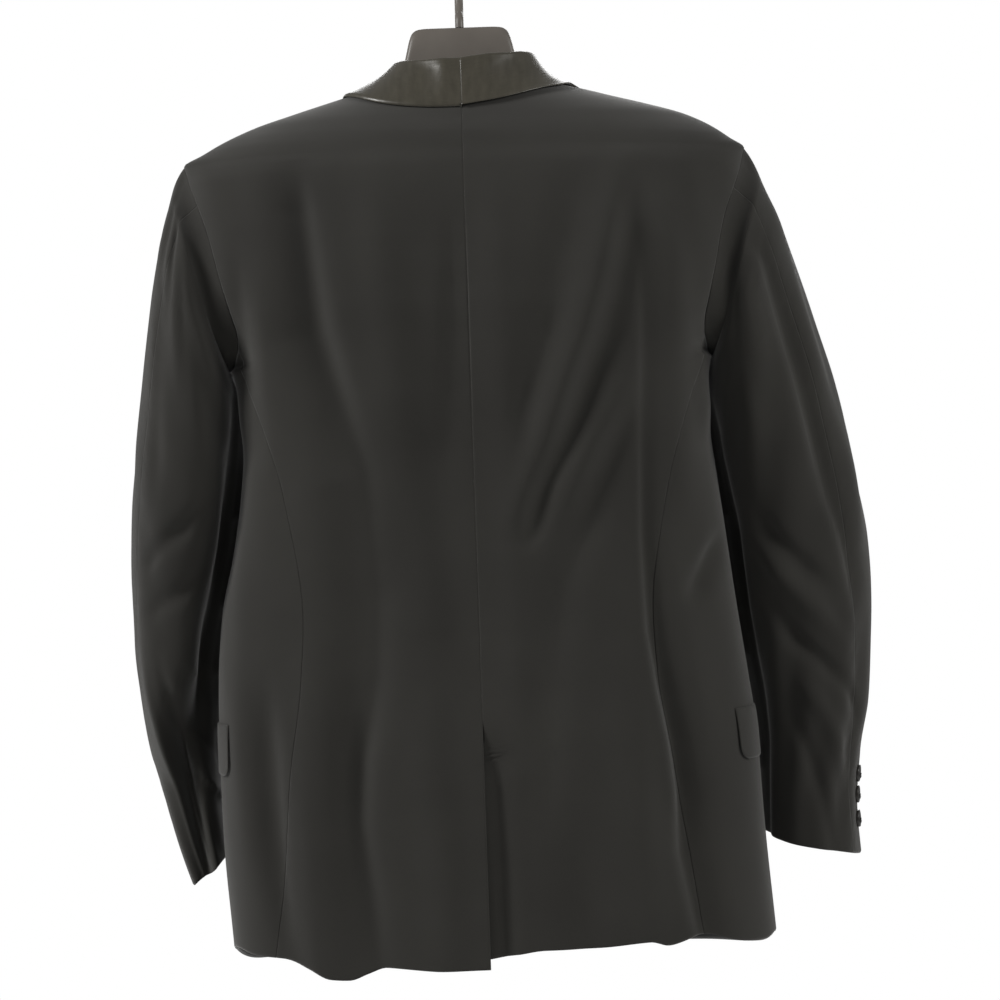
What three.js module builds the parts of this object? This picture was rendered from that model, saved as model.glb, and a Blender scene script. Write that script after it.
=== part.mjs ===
// A man's dinner jacket, hung on a contoured suit hanger, in millimetres.
// +Z is up, the back of the jacket faces -Y, and the origin is where the hook bears on its rail.
// Every cut piece of cloth is a thin closed wall, and neighbouring pieces stand a seam gap apart.

import * as THREE from "three";

// Cloth
const WALL = 2;
const SEAM_GAP = 0.3;
const SET_IN_GAP = 0.5;
const COLLAR_SEAM_GAP = 0.8;

// Levels of the body, measured down from the hook
const NECK_LEVEL = -103;
const SHOULDER_TIP_LEVEL = -165;
const ARMHOLE_MIDDLE = -255;
const ARMHOLE_HALF_HEIGHT = 90;
const ARMHOLE_STEP = 18;
const UNDERARM_SEAM_ANGLE = 144;
const HEM_LEVEL = -850;
const HEM_EASE_LEVEL = -700;
const BACK_NECK_DIP = 5;
const SHOULDER_FACE_LEVEL = -190;

// Share of a slice's depth at which the hem is wholly the front's, and wholly the back's
const HEM_FRONT_SHARE = 0.5;
const HEM_BACK_SHARE = -0.35;

// Share of the slice's depth over which the folds fade in from the side
const FOLD_SIDE_FADE = 0.35;

// Steps over which slopes and lengths are taken: degrees round the body or a sleeve, levels, and
// shares of a sleeve's length. Slopes at a piece's ends are taken a little inside it.
const BODY_STEP = 0.6;
const LEVEL_STEP = 0.5;
const LEVEL_INSET = 0.6;
const SEAM_STEP = 0.3;
const FLAP_STEP = 0.5;
const ARMHOLE_STEP_BESIDE = 1;
const SLEEVE_SEAM_STEP = 1;
const SLEEVE_STEP = 2;
const SLEEVE_LENGTH_STEP = 0.005;
const SLEEVE_LAST_SLOPE = 0.994;
const RIDGE_HALVINGS = 40;

// The way out of the body, sideways for each millimetre of x and upwards on the shoulders
const OUTWARD_SIDE = 0.4;
const OUTWARD_LIFT = 60;

// Vent at the foot of the centre-back seam
const VENT_TOP = -669;
const VENT_EASE_TOP = -648;
const VENT_FULL = -683;
const VENT_UNDERLAP = 38;
const VENT_DEPTH = 4.6;
const VENT_EASE_WIDTH = 30;
const VENT_LIP_RISE = 1.6;

// Closing of the fronts
const UNDER_FRONT_DEPTH = 8;
const UNDER_FRONT_START = -390;
const UNDER_FRONT_FULL = -465;
const UNDER_FRONT_EASE = -700;
const UNDER_FRONT_END = -770;
const UNDER_FRONT_REACH = 80;
const UNDER_FRONT_FLAT = 34;
const CLOSING_BUTTON_LEVEL = -562;

// Buttons
const FRONT_BUTTON_RADIUS = 10;
const CUFF_BUTTON_RADIUS = 7.6;
const BUTTON_HEIGHT = 3.6;
const BUTTON_SEAT = 0.6;
const BUTTON_WELL_SHARE = 0.62;
const BUTTON_BACK_SHARE = 0.75;
const BUTTON_EDGE_SHARE = 0.5;
const BUTTON_RIM_SHARE = 0.88;
const BUTTON_WELL_WIDTH = 0.6;
const BUTTON_SEGMENTS = 12;
const CUFF_BUTTON_ANGLES = { left: 34, right: -19 };
const CUFF_BUTTON_LEVELS = [0.905, 0.934, 0.963];

// Pocket flaps
const FLAP_TOP = -650;
const FLAP_BOTTOM = -694;
const FLAP_REAR_X = 221;
const FLAP_LENGTH = 150;
const FLAP_STANDOFF = 0.9;
const FLAP_REAR_FLARE = 2.6;
const FLAP_COLUMNS = 14;
const FLAP_FLARE_COLUMNS = 4;

// Hanger and hook
const CROWN_LEVEL = -51;
const HANGER_SEAT = 0.9;
const HANGER_END = 216;
const HANGER_TIP_START = 205;
const HANGER_TIP_DROP = 0.5;
const HANGER_NECK_REACH = 75;
const HANGER_NECK_SQUARENESS = 3;
const HANGER_ARM_SQUARENESS = 2.2;
const HOOK_INNER_RADIUS = 18.5;
const HOOK_THICKNESS = 7.5;
const HOOK_LOOP_START = -70;
const HOOK_LOOP_END = 200;
const HOOK_BEND = [
  { y: 0, rise: 4 },
  { y: 0.9, rise: 8.2 },
  { y: 3.6, rise: 10.8 },
];

// Finishes
const WOOL = { color: 0x2b2a27, roughness: 0.92 };
const SATIN = { color: 0x3a3830, roughness: 0.45 };
const BUTTON_PLASTIC = { color: 0x15140f, roughness: 0.4 };
const HANGER_PLASTIC = { color: 0x5b5651, roughness: 0.55 };

// The body in level slices: half widths to each side, depths behind and before the shoulder line,
// and the squareness of the slice (2 is an ellipse).
const BODY_SLICES = [
  { z: -103, left: 76, right: 76, back: 51, front: 48, power: 2.0 },
  { z: -106, left: 88, right: 93, back: 54, front: 50, power: 2.0 },
  { z: -110, left: 103, right: 110, back: 57, front: 53, power: 2.0 },
  { z: -116, left: 124, right: 132, back: 61, front: 57, power: 2.0 },
  { z: -124, left: 151, right: 162, back: 66, front: 61, power: 2.0 },
  { z: -134, left: 183, right: 195, back: 72, front: 66, power: 2.02 },
  { z: -146, left: 211, right: 219, back: 79, front: 72, power: 2.05 },
  { z: -156, left: 229, right: 233, back: 84, front: 77, power: 2.08 },
  { z: -165, left: 245, right: 245, back: 88, front: 81, power: 2.1 },
  { z: -180, left: 244, right: 244, back: 95, front: 87, power: 2.15 },
  { z: -205, left: 243, right: 243, back: 102, front: 94, power: 2.2 },
  { z: -230, left: 240, right: 240, back: 107, front: 99, power: 2.3 },
  { z: -255, left: 236, right: 236, back: 111, front: 102, power: 2.35 },
  { z: -280, left: 230, right: 230, back: 113, front: 104, power: 2.4 },
  { z: -305, left: 221, right: 221, back: 115, front: 105, power: 2.4 },
  { z: -330, left: 211, right: 211, back: 115, front: 105, power: 2.4 },
  { z: -365, left: 202, right: 203, back: 114, front: 104, power: 2.4 },
  { z: -400, left: 200, right: 205, back: 112, front: 102, power: 2.4 },
  { z: -450, left: 204, right: 211, back: 109, front: 99, power: 2.4 },
  { z: -500, left: 212, right: 217, back: 106, front: 96, power: 2.4 },
  { z: -560, left: 225, right: 224, back: 105, front: 95, power: 2.4 },
  { z: -620, left: 230, right: 232, back: 106, front: 96, power: 2.4 },
  { z: -669, left: 231, right: 238, back: 108, front: 97, power: 2.4 },
  { z: -750, left: 230, right: 242, back: 110, front: 97, power: 2.4 },
  { z: -850, left: 224, right: 249, back: 110, front: 96, power: 2.4 },
];

// Levels of the mesh rows: above the shoulder tip, round the armhole, and below the underarm.
const SHOULDER_ROWS = [-103, -106, -110, -116, -124, -134, -146, -156, -165];
const ARMHOLE_ROWS = [];
for (let angle = ARMHOLE_STEP; angle <= UNDERARM_SEAM_ANGLE; angle += ARMHOLE_STEP) {
  ARMHOLE_ROWS.push(ARMHOLE_MIDDLE + ARMHOLE_HALF_HEIGHT * Math.cos((angle * Math.PI) / 180));
}
const UNDERARM_SEAM_LEVEL = ARMHOLE_ROWS[ARMHOLE_ROWS.length - 1];
const WAIST_ROWS = [-353, -380, -410, -440, -470, -495, -520, -545, -580, -612, -642];
const SKIRT_ROWS = [-669, -683, -710, -740, -770, -800, -827, -850];
const LOWER_ROWS = [...WAIST_ROWS, ...SKIRT_ROWS];
const BODY_ROWS = [...SHOULDER_ROWS, ...ARMHOLE_ROWS, ...LOWER_ROWS];

const BACK_COLUMNS = 11;
const FRONT_COLUMNS = 10;
const SIDE_COLUMNS = 8;

// Depth of the armhole behind and before the shoulder line, by degrees round it from its top.
const ARMHOLE_DEPTHS = [
  { angle: 0, back: 0, front: 0 },
  { angle: 18, back: 10, front: 14 },
  { angle: 36, back: 21, front: 29 },
  { angle: 54, back: 35, front: 43 },
  { angle: 72, back: 48, front: 52 },
  { angle: 90, back: 55, front: 57 },
  { angle: 108, back: 58, front: 58 },
  { angle: 126, back: 56, front: 54 },
  { angle: 144, back: 46, front: 44 },
  { angle: 162, back: 27, front: 26 },
  { angle: 180, back: 0, front: 0 },
];

// Seam between back and side panel, as the distance from the centre line.
const SIDE_BACK_SEAM = [
  { z: -330, x: 201.4 },
  { z: -365, x: 190 },
  { z: -400, x: 178 },
  { z: -450, x: 165 },
  { z: -560, x: 149 },
  { z: -620, x: 152 },
  { z: -690, x: 163 },
  { z: -760, x: 172 },
  { z: -850, x: 183 },
];

// Seam between side and front panel, as the distance before the shoulder line.
const SIDE_FRONT_SEAM = [
  { z: -330, y: 44 },
  { z: -400, y: 45 },
  { z: -560, y: 46 },
  { z: -700, y: 48 },
  { z: -850, y: 50 },
];

// Inner edge of each front: the neck, the roll line, the overlap and the rounded cutaway.
// x is the distance from the centre line, less than zero past it.
const FRONT_EDGE = [
  { z: -103, x: 71 },
  { z: -106, x: 69 },
  { z: -116, x: 65 },
  { z: -134, x: 61 },
  { z: -200, x: 56 },
  { z: -300, x: 46 },
  { z: -400, x: 31 },
  { z: -480, x: 10 },
  { z: -545, x: -18 },
  { z: -600, x: -18 },
  { z: -640, x: -13 },
  { z: -690, x: 1 },
  { z: -740, x: 20 },
  { z: -790, x: 45 },
  { z: -829, x: 74 },
  { z: -850, x: 108 },
];

// Hem of the back, level by distance from the centre line on each side, and of the fronts.
const LEFT_HEM = [
  { x: 0, z: -857 },
  { x: 39, z: -857 },
  { x: 88, z: -854 },
  { x: 104, z: -859 },
  { x: 119, z: -864 },
  { x: 134, z: -863 },
  { x: 152, z: -855 },
  { x: 176, z: -847 },
  { x: 201, z: -846 },
  { x: 224, z: -840 },
];
const RIGHT_HEM = [
  { x: 0, z: -849 },
  { x: 21, z: -846 },
  { x: 47, z: -843 },
  { x: 85, z: -843 },
  { x: 134, z: -840 },
  { x: 150, z: -844 },
  { x: 182, z: -838 },
  { x: 216, z: -847 },
  { x: 237, z: -849 },
  { x: 249, z: -841 },
];
const FRONT_HEM_LEVEL = -866;

// Largest folds of the cloth, soft ridges (rise over zero) and troughs (rise under zero), each along
// a line of places (x, z) on the back or the front.
const FOLDS = [
  {
    name: "left_long_trough",
    face: "back",
    half: 24,
    rise: -7,
    line: [[-143, -195], [-136, -320], [-96, -432], [-90, -600], [-111, -710], [-98, -850]],
  },
  {
    name: "left_blade_ridge",
    face: "back",
    half: 17,
    rise: 4,
    line: [[-172, -275], [-172, -430]],
  },
  {
    name: "left_broad_ridge",
    face: "back",
    half: 26,
    rise: 5,
    line: [[-60, -190], [-57, -440]],
  },
  {
    name: "left_seam_trough",
    face: "back",
    half: 13,
    rise: -3.5,
    line: [[-12, -240], [-20, -440]],
  },
  {
    name: "right_seam_ridge",
    face: "back",
    half: 16,
    rise: 3.5,
    line: [[25, -215], [25, -465], [30, -630]],
  },
  {
    name: "right_long_diagonal_trough",
    face: "back",
    half: 16,
    rise: -5,
    line: [[89, -234], [70, -316], [40, -410]],
  },
  {
    name: "right_long_diagonal_ridge",
    face: "back",
    half: 15,
    rise: 7,
    line: [[130, -201], [111, -274], [73, -372], [49, -438], [26, -488]],
  },
  {
    name: "right_second_diagonal_trough",
    face: "back",
    half: 13,
    rise: -6,
    line: [[141, -202], [126, -302], [102, -362], [60, -461], [46, -494]],
  },
  {
    name: "right_second_diagonal_ridge",
    face: "back",
    half: 14,
    rise: 5,
    line: [[137, -346], [107, -396], [77, -451], [47, -505]],
  },
  {
    name: "right_low_diagonal_trough",
    face: "back",
    half: 18,
    rise: -5,
    line: [[126, -427], [95, -484], [67, -550], [50, -713]],
  },
  {
    name: "right_side_crease",
    face: "back",
    half: 14,
    rise: -6,
    line: [[143, -520], [148, -588], [154, -629], [167, -695], [166, -746], [178, -819]],
  },
  {
    name: "right_skirt_ridge",
    face: "back",
    half: 22,
    rise: 5,
    line: [[124, -604], [124, -850]],
  },
  {
    name: "left_skirt_ridge",
    face: "back",
    half: 20,
    rise: 5,
    line: [[-143, -579], [-143, -850]],
  },
  {
    name: "left_lap_ridge",
    face: "back",
    half: 22,
    rise: 4,
    line: [[-42, -640], [-40, -850]],
  },
  {
    name: "left_front_drape",
    face: "front",
    half: 24,
    rise: -6,
    line: [[-148, -300], [-138, -470], [-150, -640], [-146, -850]],
  },
  {
    name: "left_front_ridge",
    face: "front",
    half: 22,
    rise: 5,
    line: [[-95, -600], [-108, -850]],
  },
  {
    name: "right_front_drape",
    face: "front",
    half: 22,
    rise: -6,
    line: [[150, -290], [136, -440], [146, -620], [160, -850]],
  },
  {
    name: "right_front_ridge",
    face: "front",
    half: 24,
    rise: 5,
    line: [[100, -585], [118, -850]],
  },
];
const FOLD_FADE = 45;

// Sleeves as rings down the arm: the outer and inner point of each ring, half its depth, and how far
// forward its middle hangs. along is the share of the sleeve's length.
const LEFT_SLEEVE = [
  { along: 0.03, outerX: 252, outerZ: -174, innerX: 212, innerZ: -343, depth: 64, forward: 0 },
  { along: 0.055, outerX: 255.6, outerZ: -186, innerX: 215, innerZ: -345.5, depth: 69, forward: 1.4 },
  { along: 0.08, outerX: 259, outerZ: -198, innerX: 214.5, innerZ: -350.5, depth: 73, forward: 3 },
  { along: 0.14, outerX: 268, outerZ: -229, innerX: 208, innerZ: -362, depth: 77, forward: 7 },
  { along: 0.21, outerX: 276, outerZ: -268, innerX: 205, innerZ: -378, depth: 79, forward: 11 },
  { along: 0.29, outerX: 284.5, outerZ: -318, innerX: 203.5, innerZ: -396, depth: 79, forward: 15 },
  { along: 0.37, outerX: 292, outerZ: -370, innerX: 203.5, innerZ: -420, depth: 78, forward: 19 },
  { along: 0.44, outerX: 299, outerZ: -420, innerX: 205.5, innerZ: -450, depth: 76, forward: 22 },
  { along: 0.52, outerX: 304, outerZ: -478, innerX: 210, innerZ: -484, depth: 72, forward: 26 },
  { along: 0.59, outerX: 306, outerZ: -528, innerX: 218, innerZ: -528, depth: 68, forward: 29 },
  { along: 0.66, outerX: 306, outerZ: -576, innerX: 227, innerZ: -575, depth: 66, forward: 32 },
  { along: 0.73, outerX: 303, outerZ: -622, innerX: 232, innerZ: -624, depth: 64, forward: 34 },
  { along: 0.8, outerX: 297, outerZ: -668, innerX: 235, innerZ: -664, depth: 63, forward: 36 },
  { along: 0.87, outerX: 287, outerZ: -712, innerX: 234, innerZ: -706, depth: 62, forward: 37 },
  { along: 0.94, outerX: 276, outerZ: -757, innerX: 231, innerZ: -745, depth: 61, forward: 38 },
  { along: 1, outerX: 264, outerZ: -795, innerX: 229, innerZ: -772, depth: 61, forward: 38 },
];
const RIGHT_SLEEVE = [
  { along: 0.03, outerX: 252, outerZ: -175, innerX: 212, innerZ: -343, depth: 64, forward: 0 },
  { along: 0.055, outerX: 257, outerZ: -187.5, innerX: 215, innerZ: -345.5, depth: 67, forward: 1.4 },
  { along: 0.08, outerX: 262, outerZ: -200, innerX: 214.5, innerZ: -351, depth: 69, forward: 3 },
  { along: 0.14, outerX: 274, outerZ: -227, innerX: 208.5, innerZ: -365, depth: 71, forward: 7 },
  { along: 0.21, outerX: 286, outerZ: -264, innerX: 207, innerZ: -384, depth: 72, forward: 11 },
  { along: 0.29, outerX: 300, outerZ: -310, innerX: 207, innerZ: -404, depth: 71, forward: 15 },
  { along: 0.37, outerX: 313.5, outerZ: -356, innerX: 209, innerZ: -428, depth: 70, forward: 18 },
  { along: 0.44, outerX: 325, outerZ: -404, innerX: 212.5, innerZ: -456, depth: 67, forward: 21 },
  { along: 0.52, outerX: 337, outerZ: -460, innerX: 217, innerZ: -492, depth: 62, forward: 24 },
  { along: 0.59, outerX: 344, outerZ: -508, innerX: 220, innerZ: -525, depth: 57, forward: 26 },
  { along: 0.66, outerX: 346, outerZ: -556, innerX: 225, innerZ: -564, depth: 53, forward: 28 },
  { along: 0.73, outerX: 344, outerZ: -604, innerX: 232, innerZ: -606, depth: 51, forward: 30 },
  { along: 0.8, outerX: 341, outerZ: -650, innerX: 239.5, innerZ: -648, depth: 50, forward: 31 },
  { along: 0.87, outerX: 332, outerZ: -697, innerX: 243.5, innerZ: -692, depth: 48, forward: 32 },
  { along: 0.94, outerX: 328, outerZ: -740, innerX: 243.5, innerZ: -732, depth: 47, forward: 33 },
  { along: 1, outerX: 330, outerZ: -785, innerX: 244, innerZ: -768, depth: 46, forward: 33 },
];
const SLEEVE_SQUARENESS = 2.15;
const SLEEVE_HEAD_EASE = 0.9;
const SLEEVE_HEAD_END = 0.16;
const SLEEVE_ROWS = [
  0, 0.03, 0.055, 0.08, 0.14, 0.21, 0.29, 0.37, 0.44, 0.5, 0.56, 0.61, 0.66, 0.72, 0.78, 0.84, 0.9, 0.95,
  1,
];
const SLEEVE_COLUMNS = 10;

// Seams of the sleeves, in degrees round the ring from its outer point towards the front.
const LEFT_SLEEVE_SEAMS = [
  { along: 0, back: -54, front: 126 },
  { along: 0.5, back: -42, front: 132 },
  { along: 1, back: 4, front: 150 },
];
const RIGHT_SLEEVE_SEAMS = [
  { along: 0, back: -54, front: 126 },
  { along: 0.5, back: -52, front: 130 },
  { along: 1, back: -42, front: 140 },
];

// Folds of the sleeves, each along a line of places (degrees round, share of the length).
const SLEEVE_FOLDS = [
  { name: "left_head_drag", side: -1, half: 9, rise: -4, line: [[-38, 0.05], [-30, 0.22]] },
  { name: "left_elbow_trough", side: -1, half: 10, rise: -5, line: [[-95, 0.5], [-40, 0.6]] },
  { name: "left_forearm_trough", side: -1, half: 10, rise: -5, line: [[-80, 0.76], [-120, 0.93]] },
  { name: "right_long_trough", side: 1, half: 10, rise: -7, line: [[-62, 0.1], [-72, 0.4], [-62, 0.66]] },
  { name: "right_elbow_ridge", side: 1, half: 9, rise: 5, line: [[-110, 0.55], [-70, 0.72]] },
  { name: "right_elbow_trough", side: 1, half: 8, rise: -5, line: [[-100, 0.74], [-45, 0.84]] },
];
const DEGREES_TO_SHARE = 0.006;
const SLEEVE_FOLD_FADE = 8;

// Collar and lapel: a section for each place round the neck and down the front. t and level give the
// seam on the body, foldX, foldY and foldZ the middle of the rolled edge, leafT and leafLevel the
// outer edge lying on the body. Side is in the sense of each half, so x is away from the centre.
const COLLAR_SECTIONS = [
  { t: -90, foldX: 0, foldY: -47.5, foldZ: -88, leafT: -90, leafLevel: -127 },
  { t: -80, foldX: 10, foldY: -47, foldZ: -87.5, leafT: -80, leafLevel: -126.5 },
  { t: -70, foldX: 19, foldY: -45.5, foldZ: -87, leafT: -70, leafLevel: -126 },
  { t: -60, foldX: 28, foldY: -42.5, foldZ: -86.5, leafT: -60, leafLevel: -125 },
  { t: -50, foldX: 36, foldY: -38, foldZ: -86, leafT: -50, leafLevel: -123.5 },
  { t: -40, foldX: 43, foldY: -32, foldZ: -85, leafT: -40, leafLevel: -121 },
  { t: -30, foldX: 49, foldY: -24.5, foldZ: -84, leafT: -30, leafLevel: -118 },
  { t: -20, foldX: 53.5, foldY: -16, foldZ: -83, leafT: -21, leafLevel: -115 },
  { t: -10, foldX: 56, foldY: -7, foldZ: -82, leafT: -12, leafLevel: -112.5 },
  { t: 0, foldX: 57, foldY: 2, foldZ: -82, leafT: -3, leafLevel: -111 },
  { t: 9, foldX: 57, foldY: 11, foldZ: -83, leafT: 7, leafLevel: -111 },
  { t: 22, foldX: 58, foldY: 22, foldZ: -87, leafT: 19, leafLevel: -113.5 },
];
const LAPEL_SHAPE = [
  { level: -106, rise: 12, roll: 8, leafX: 108, leafLevel: -121 },
  { level: -116, rise: 8, roll: 9, leafX: 113, leafLevel: -142 },
  { level: -134, rise: 6, roll: 9, leafX: 118, leafLevel: -166 },
  { level: -165, rise: 5, roll: 9, leafX: 124, leafLevel: -198 },
  { level: -227, rise: 5, roll: 9, leafX: 129, leafLevel: -252 },
  { level: -283, rise: 5, roll: 9, leafX: 125, leafLevel: -304 },
  { level: -353, rise: 5, roll: 8, leafX: 108, leafLevel: -370 },
  { level: -410, rise: 4.5, roll: 7, leafX: 84, leafLevel: -422 },
  { level: -470, rise: 3.5, roll: 4.4, leafX: 51, leafLevel: -477 },
  { level: -520, rise: 2.6, roll: 3.6, leafX: 18, leafLevel: -524 },
  { level: -545, rise: 2.4, roll: 3.6, leafX: -4, leafLevel: -549 },
];
const LAPEL_FOOT = -545;
const COLLAR_WALL = 2;
const NECK_ROLL = 6;
const LEAF_LIFT = 1.5;
const STAND_LEAN = 0.35;
const NECK_LEAF_HUG = 0.5;
const LAPEL_LEAF_HUG = 0.6;
const GORGE_TOP = -104;
const GORGE_FOOT = -160;
const STAND_STEPS = 2;
const FOLD_STEPS = 3;
const LEAF_STEPS = 4;

// Hanger: top, bottom and half depth by distance from the middle. Past the neck the top follows the
// inside of the shoulder.
const HANGER_HUMP = [
  { x: 0, top: -51, bottom: -112, depth: 11 },
  { x: 14, top: -51, bottom: -112, depth: 11 },
  { x: 28, top: -51, bottom: -113, depth: 11 },
  { x: 36, top: -51.6, bottom: -114, depth: 11 },
  { x: 41, top: -54.2, bottom: -115, depth: 11 },
  { x: 43.6, top: -59, bottom: -116, depth: 11 },
  { x: 45.6, top: -66, bottom: -117, depth: 11 },
  { x: 48, top: -76, bottom: -118, depth: 11 },
  { x: 51, top: -87, bottom: -119, depth: 11 },
  { x: 55, top: -95, bottom: -121, depth: 11 },
  { x: 61, top: -101.5, bottom: -124, depth: 11 },
  { x: 68, top: -105.2, bottom: -127, depth: 11.5 },
];
const HANGER_ARM = [
  { x: 78, height: 22, depth: 12 },
  { x: 95, height: 23, depth: 13 },
  { x: 115, height: 24, depth: 14 },
  { x: 140, height: 26, depth: 16 },
  { x: 165, height: 27, depth: 18.5 },
  { x: 188, height: 28, depth: 20 },
  { x: 203, height: 27, depth: 19 },
  { x: 211, height: 22, depth: 16 },
  { x: HANGER_END, height: 12, depth: 8 },
];
const HANGER_SIDES = 12;

const HOOK_SIDES = 8;
const HOOK_STEP = 15;

const RADIANS = Math.PI / 180;

function smooth(from, to, value) {
  const share = THREE.MathUtils.clamp((value - from) / (to - from), 0, 1);
  return share * share * (3 - 2 * share);
}

// A column of a table read smoothly at a key, by a cubic through the rows whose slopes are averages.
function readTable(rows, key, column, at) {
  const rising = rows[rows.length - 1][key] > rows[0][key];
  const last = rows.length - 2;
  let index = 0;
  while (index < last && (rising ? at > rows[index + 1][key] : at < rows[index + 1][key])) index += 1;
  const slope = (first) => (rows[first + 1][column] - rows[first][column])
    / (rows[first + 1][key] - rows[first][key]);
  const knotSlope = (knot) => {
    if (knot === 0) return slope(0);
    if (knot === rows.length - 1) return slope(knot - 1);
    const before = slope(knot - 1);
    const after = slope(knot);
    return before * after <= 0 ? 0 : (2 * before * after) / (before + after);
  };
  const span = rows[index + 1][key] - rows[index][key];
  const share = THREE.MathUtils.clamp((at - rows[index][key]) / span, 0, 1);
  const squared = share * share;
  const cubed = squared * share;
  return (2 * cubed - 3 * squared + 1) * rows[index][column]
    + (cubed - 2 * squared + share) * span * knotSlope(index)
    + (3 * squared - 2 * cubed) * rows[index + 1][column]
    + (cubed - squared) * span * knotSlope(index + 1);
}

function sliceAt(side, level) {
  const read = (column) => readTable(BODY_SLICES, "z", column, level);
  return {
    width: read(side < 0 ? "left" : "right"),
    back: read("back"),
    front: read("front"),
    power: read("power"),
  };
}

// Distance from a place (x, z) to a line of places, and how far inside the line's ends it lies.
function distanceToLine(line, x, z) {
  let nearest = { distance: Infinity, before: 0, after: 0 };
  let run = 0;
  const lengths = line.slice(1).map((end, i) => Math.hypot(end[0] - line[i][0], end[1] - line[i][1]));
  const total = lengths.reduce((sum, length) => sum + length, 0);
  lengths.forEach((length, i) => {
    const [startX, startZ] = line[i];
    const alongX = (line[i + 1][0] - startX) / length;
    const alongZ = (line[i + 1][1] - startZ) / length;
    const reach = THREE.MathUtils.clamp((x - startX) * alongX + (z - startZ) * alongZ, 0, length);
    const distance = Math.hypot(x - startX - alongX * reach, z - startZ - alongZ * reach);
    if (distance < nearest.distance) {
      nearest = { distance, before: run + reach, after: total - run - reach };
    }
    run += length;
  });
  return nearest;
}

function foldRise(face, x, z) {
  return FOLDS.filter((fold) => fold.face === face).reduce((sum, fold) => {
    const near = distanceToLine(fold.line, x, z);
    const lowEnd = fold.line[fold.line.length - 1][1] <= HEM_LEVEL ? 1 : smooth(0, FOLD_FADE, near.after);
    const fade = smooth(0, FOLD_FADE, near.before) * lowEnd;
    return sum + fold.rise * fade * Math.exp(-((near.distance / fold.half) ** 2));
  }, 0);
}

// How far the under layer of the vent and of the closing sinks below the outer layer.
function lapSink(side, face, x, level) {
  if (face === "back") {
    if (side < 0) return -VENT_LIP_RISE * smooth(VENT_TOP, HEM_LEVEL, level) * smooth(-VENT_EASE_WIDTH, 0, x);
    return VENT_DEPTH * smooth(VENT_EASE_TOP, VENT_FULL, level) * smooth(VENT_EASE_WIDTH, 1, x);
  }
  if (side < 0) return 0;
  const closing = smooth(UNDER_FRONT_START, UNDER_FRONT_FULL, level)
    * smooth(UNDER_FRONT_END, UNDER_FRONT_EASE, level);
  return UNDER_FRONT_DEPTH * closing * smooth(UNDER_FRONT_REACH, UNDER_FRONT_FLAT, x);
}

function hemLevel(side, back, away) {
  const rear = readTable(side < 0 ? LEFT_HEM : RIGHT_HEM, "x", "z", Math.max(away, 0));
  return THREE.MathUtils.lerp(FRONT_HEM_LEVEL, rear, back);
}

// A point of the body's outer surface. side is -1 left or 1 right, t runs from -90 degrees at the
// centre back through 0 at the side to 90 at the centre front, and a little past either centre.
function bodyPoint(side, t, level) {
  const { width, back, front, power } = sliceAt(side, level);
  const cosine = Math.cos(t * RADIANS);
  const sine = Math.sin(t * RADIANS);
  const depth = sine < 0 ? back : front;
  const acrossShare = Math.abs(cosine) ** (2 / power) * Math.sign(cosine);
  const depthShare = Math.abs(sine) ** (2 / power) * Math.sign(sine);
  const x = side * width * acrossShare;
  const y = depth * depthShare;
  const normalX = side * Math.sign(acrossShare) * Math.abs(acrossShare) ** (power - 1) / width;
  const normalY = Math.sign(depthShare) * Math.abs(depthShare) ** (power - 1) / depth;
  const normalLength = Math.hypot(normalX, normalY);
  const face = sine < 0 ? "back" : "front";
  const sideFade = smooth(0, FOLD_SIDE_FADE, Math.abs(sine));
  const sink = lapSink(side, face, face === "back" ? x : side * x, level);
  const rise = foldRise(face, x, level) * sideFade - sink;
  const hemShare = smooth(HEM_EASE_LEVEL, HEM_LEVEL, level);
  const backShare = smooth(HEM_FRONT_SHARE, HEM_BACK_SHARE, sine);
  const hemShift = hemShare * (hemLevel(side, backShare, Math.abs(x)) - HEM_LEVEL);
  const neckShare = smooth(SHOULDER_TIP_LEVEL, NECK_LEVEL, level);
  const neckShift = -BACK_NECK_DIP * neckShare * Math.max(-sine, 0) ** 2;
  return new THREE.Vector3(
    x + (rise * normalX) / normalLength,
    y + (rise * normalY) / normalLength,
    level + hemShift + neckShift,
  );
}

// The outward normal of a surface given as a function of two parameters.
function surfaceNormal(surface, u, v, stepU, stepV, outward) {
  const acrossU = surface(u + stepU, v).sub(surface(u - stepU, v));
  const acrossV = surface(u, v + stepV).sub(surface(u, v - stepV));
  const normal = acrossU.cross(acrossV).normalize();
  return normal.dot(outward) < 0 ? normal.negate() : normal;
}

function bodyNormal(side, t, level) {
  const inside = Math.max(Math.min(level, NECK_LEVEL - LEVEL_INSET), HEM_LEVEL + LEVEL_INSET);
  const point = bodyPoint(side, t, inside);
  const upward = inside > SHOULDER_FACE_LEVEL ? 1 : 0;
  const outward = new THREE.Vector3(OUTWARD_SIDE * point.x, point.y, OUTWARD_LIFT * upward);
  return surfaceNormal((a, b) => bodyPoint(side, a, b), t, inside, BODY_STEP, LEVEL_STEP, outward);
}

// The angle t at which a slice is a given distance from the centre line, or from the shoulder line.
function angleAtX(side, level, x) {
  const { width, power } = sliceAt(side, level);
  const share = Math.min(Math.abs(x) / width, 1) ** (power / 2);
  return Math.acos(share * Math.sign(x)) / RADIANS;
}

function angleAtY(side, level, y) {
  const slice = sliceAt(side, level);
  const depth = y < 0 ? slice.back : slice.front;
  return (Math.asin(Math.min(Math.abs(y) / depth, 1) ** (slice.power / 2)) / RADIANS) * Math.sign(y);
}

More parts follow.
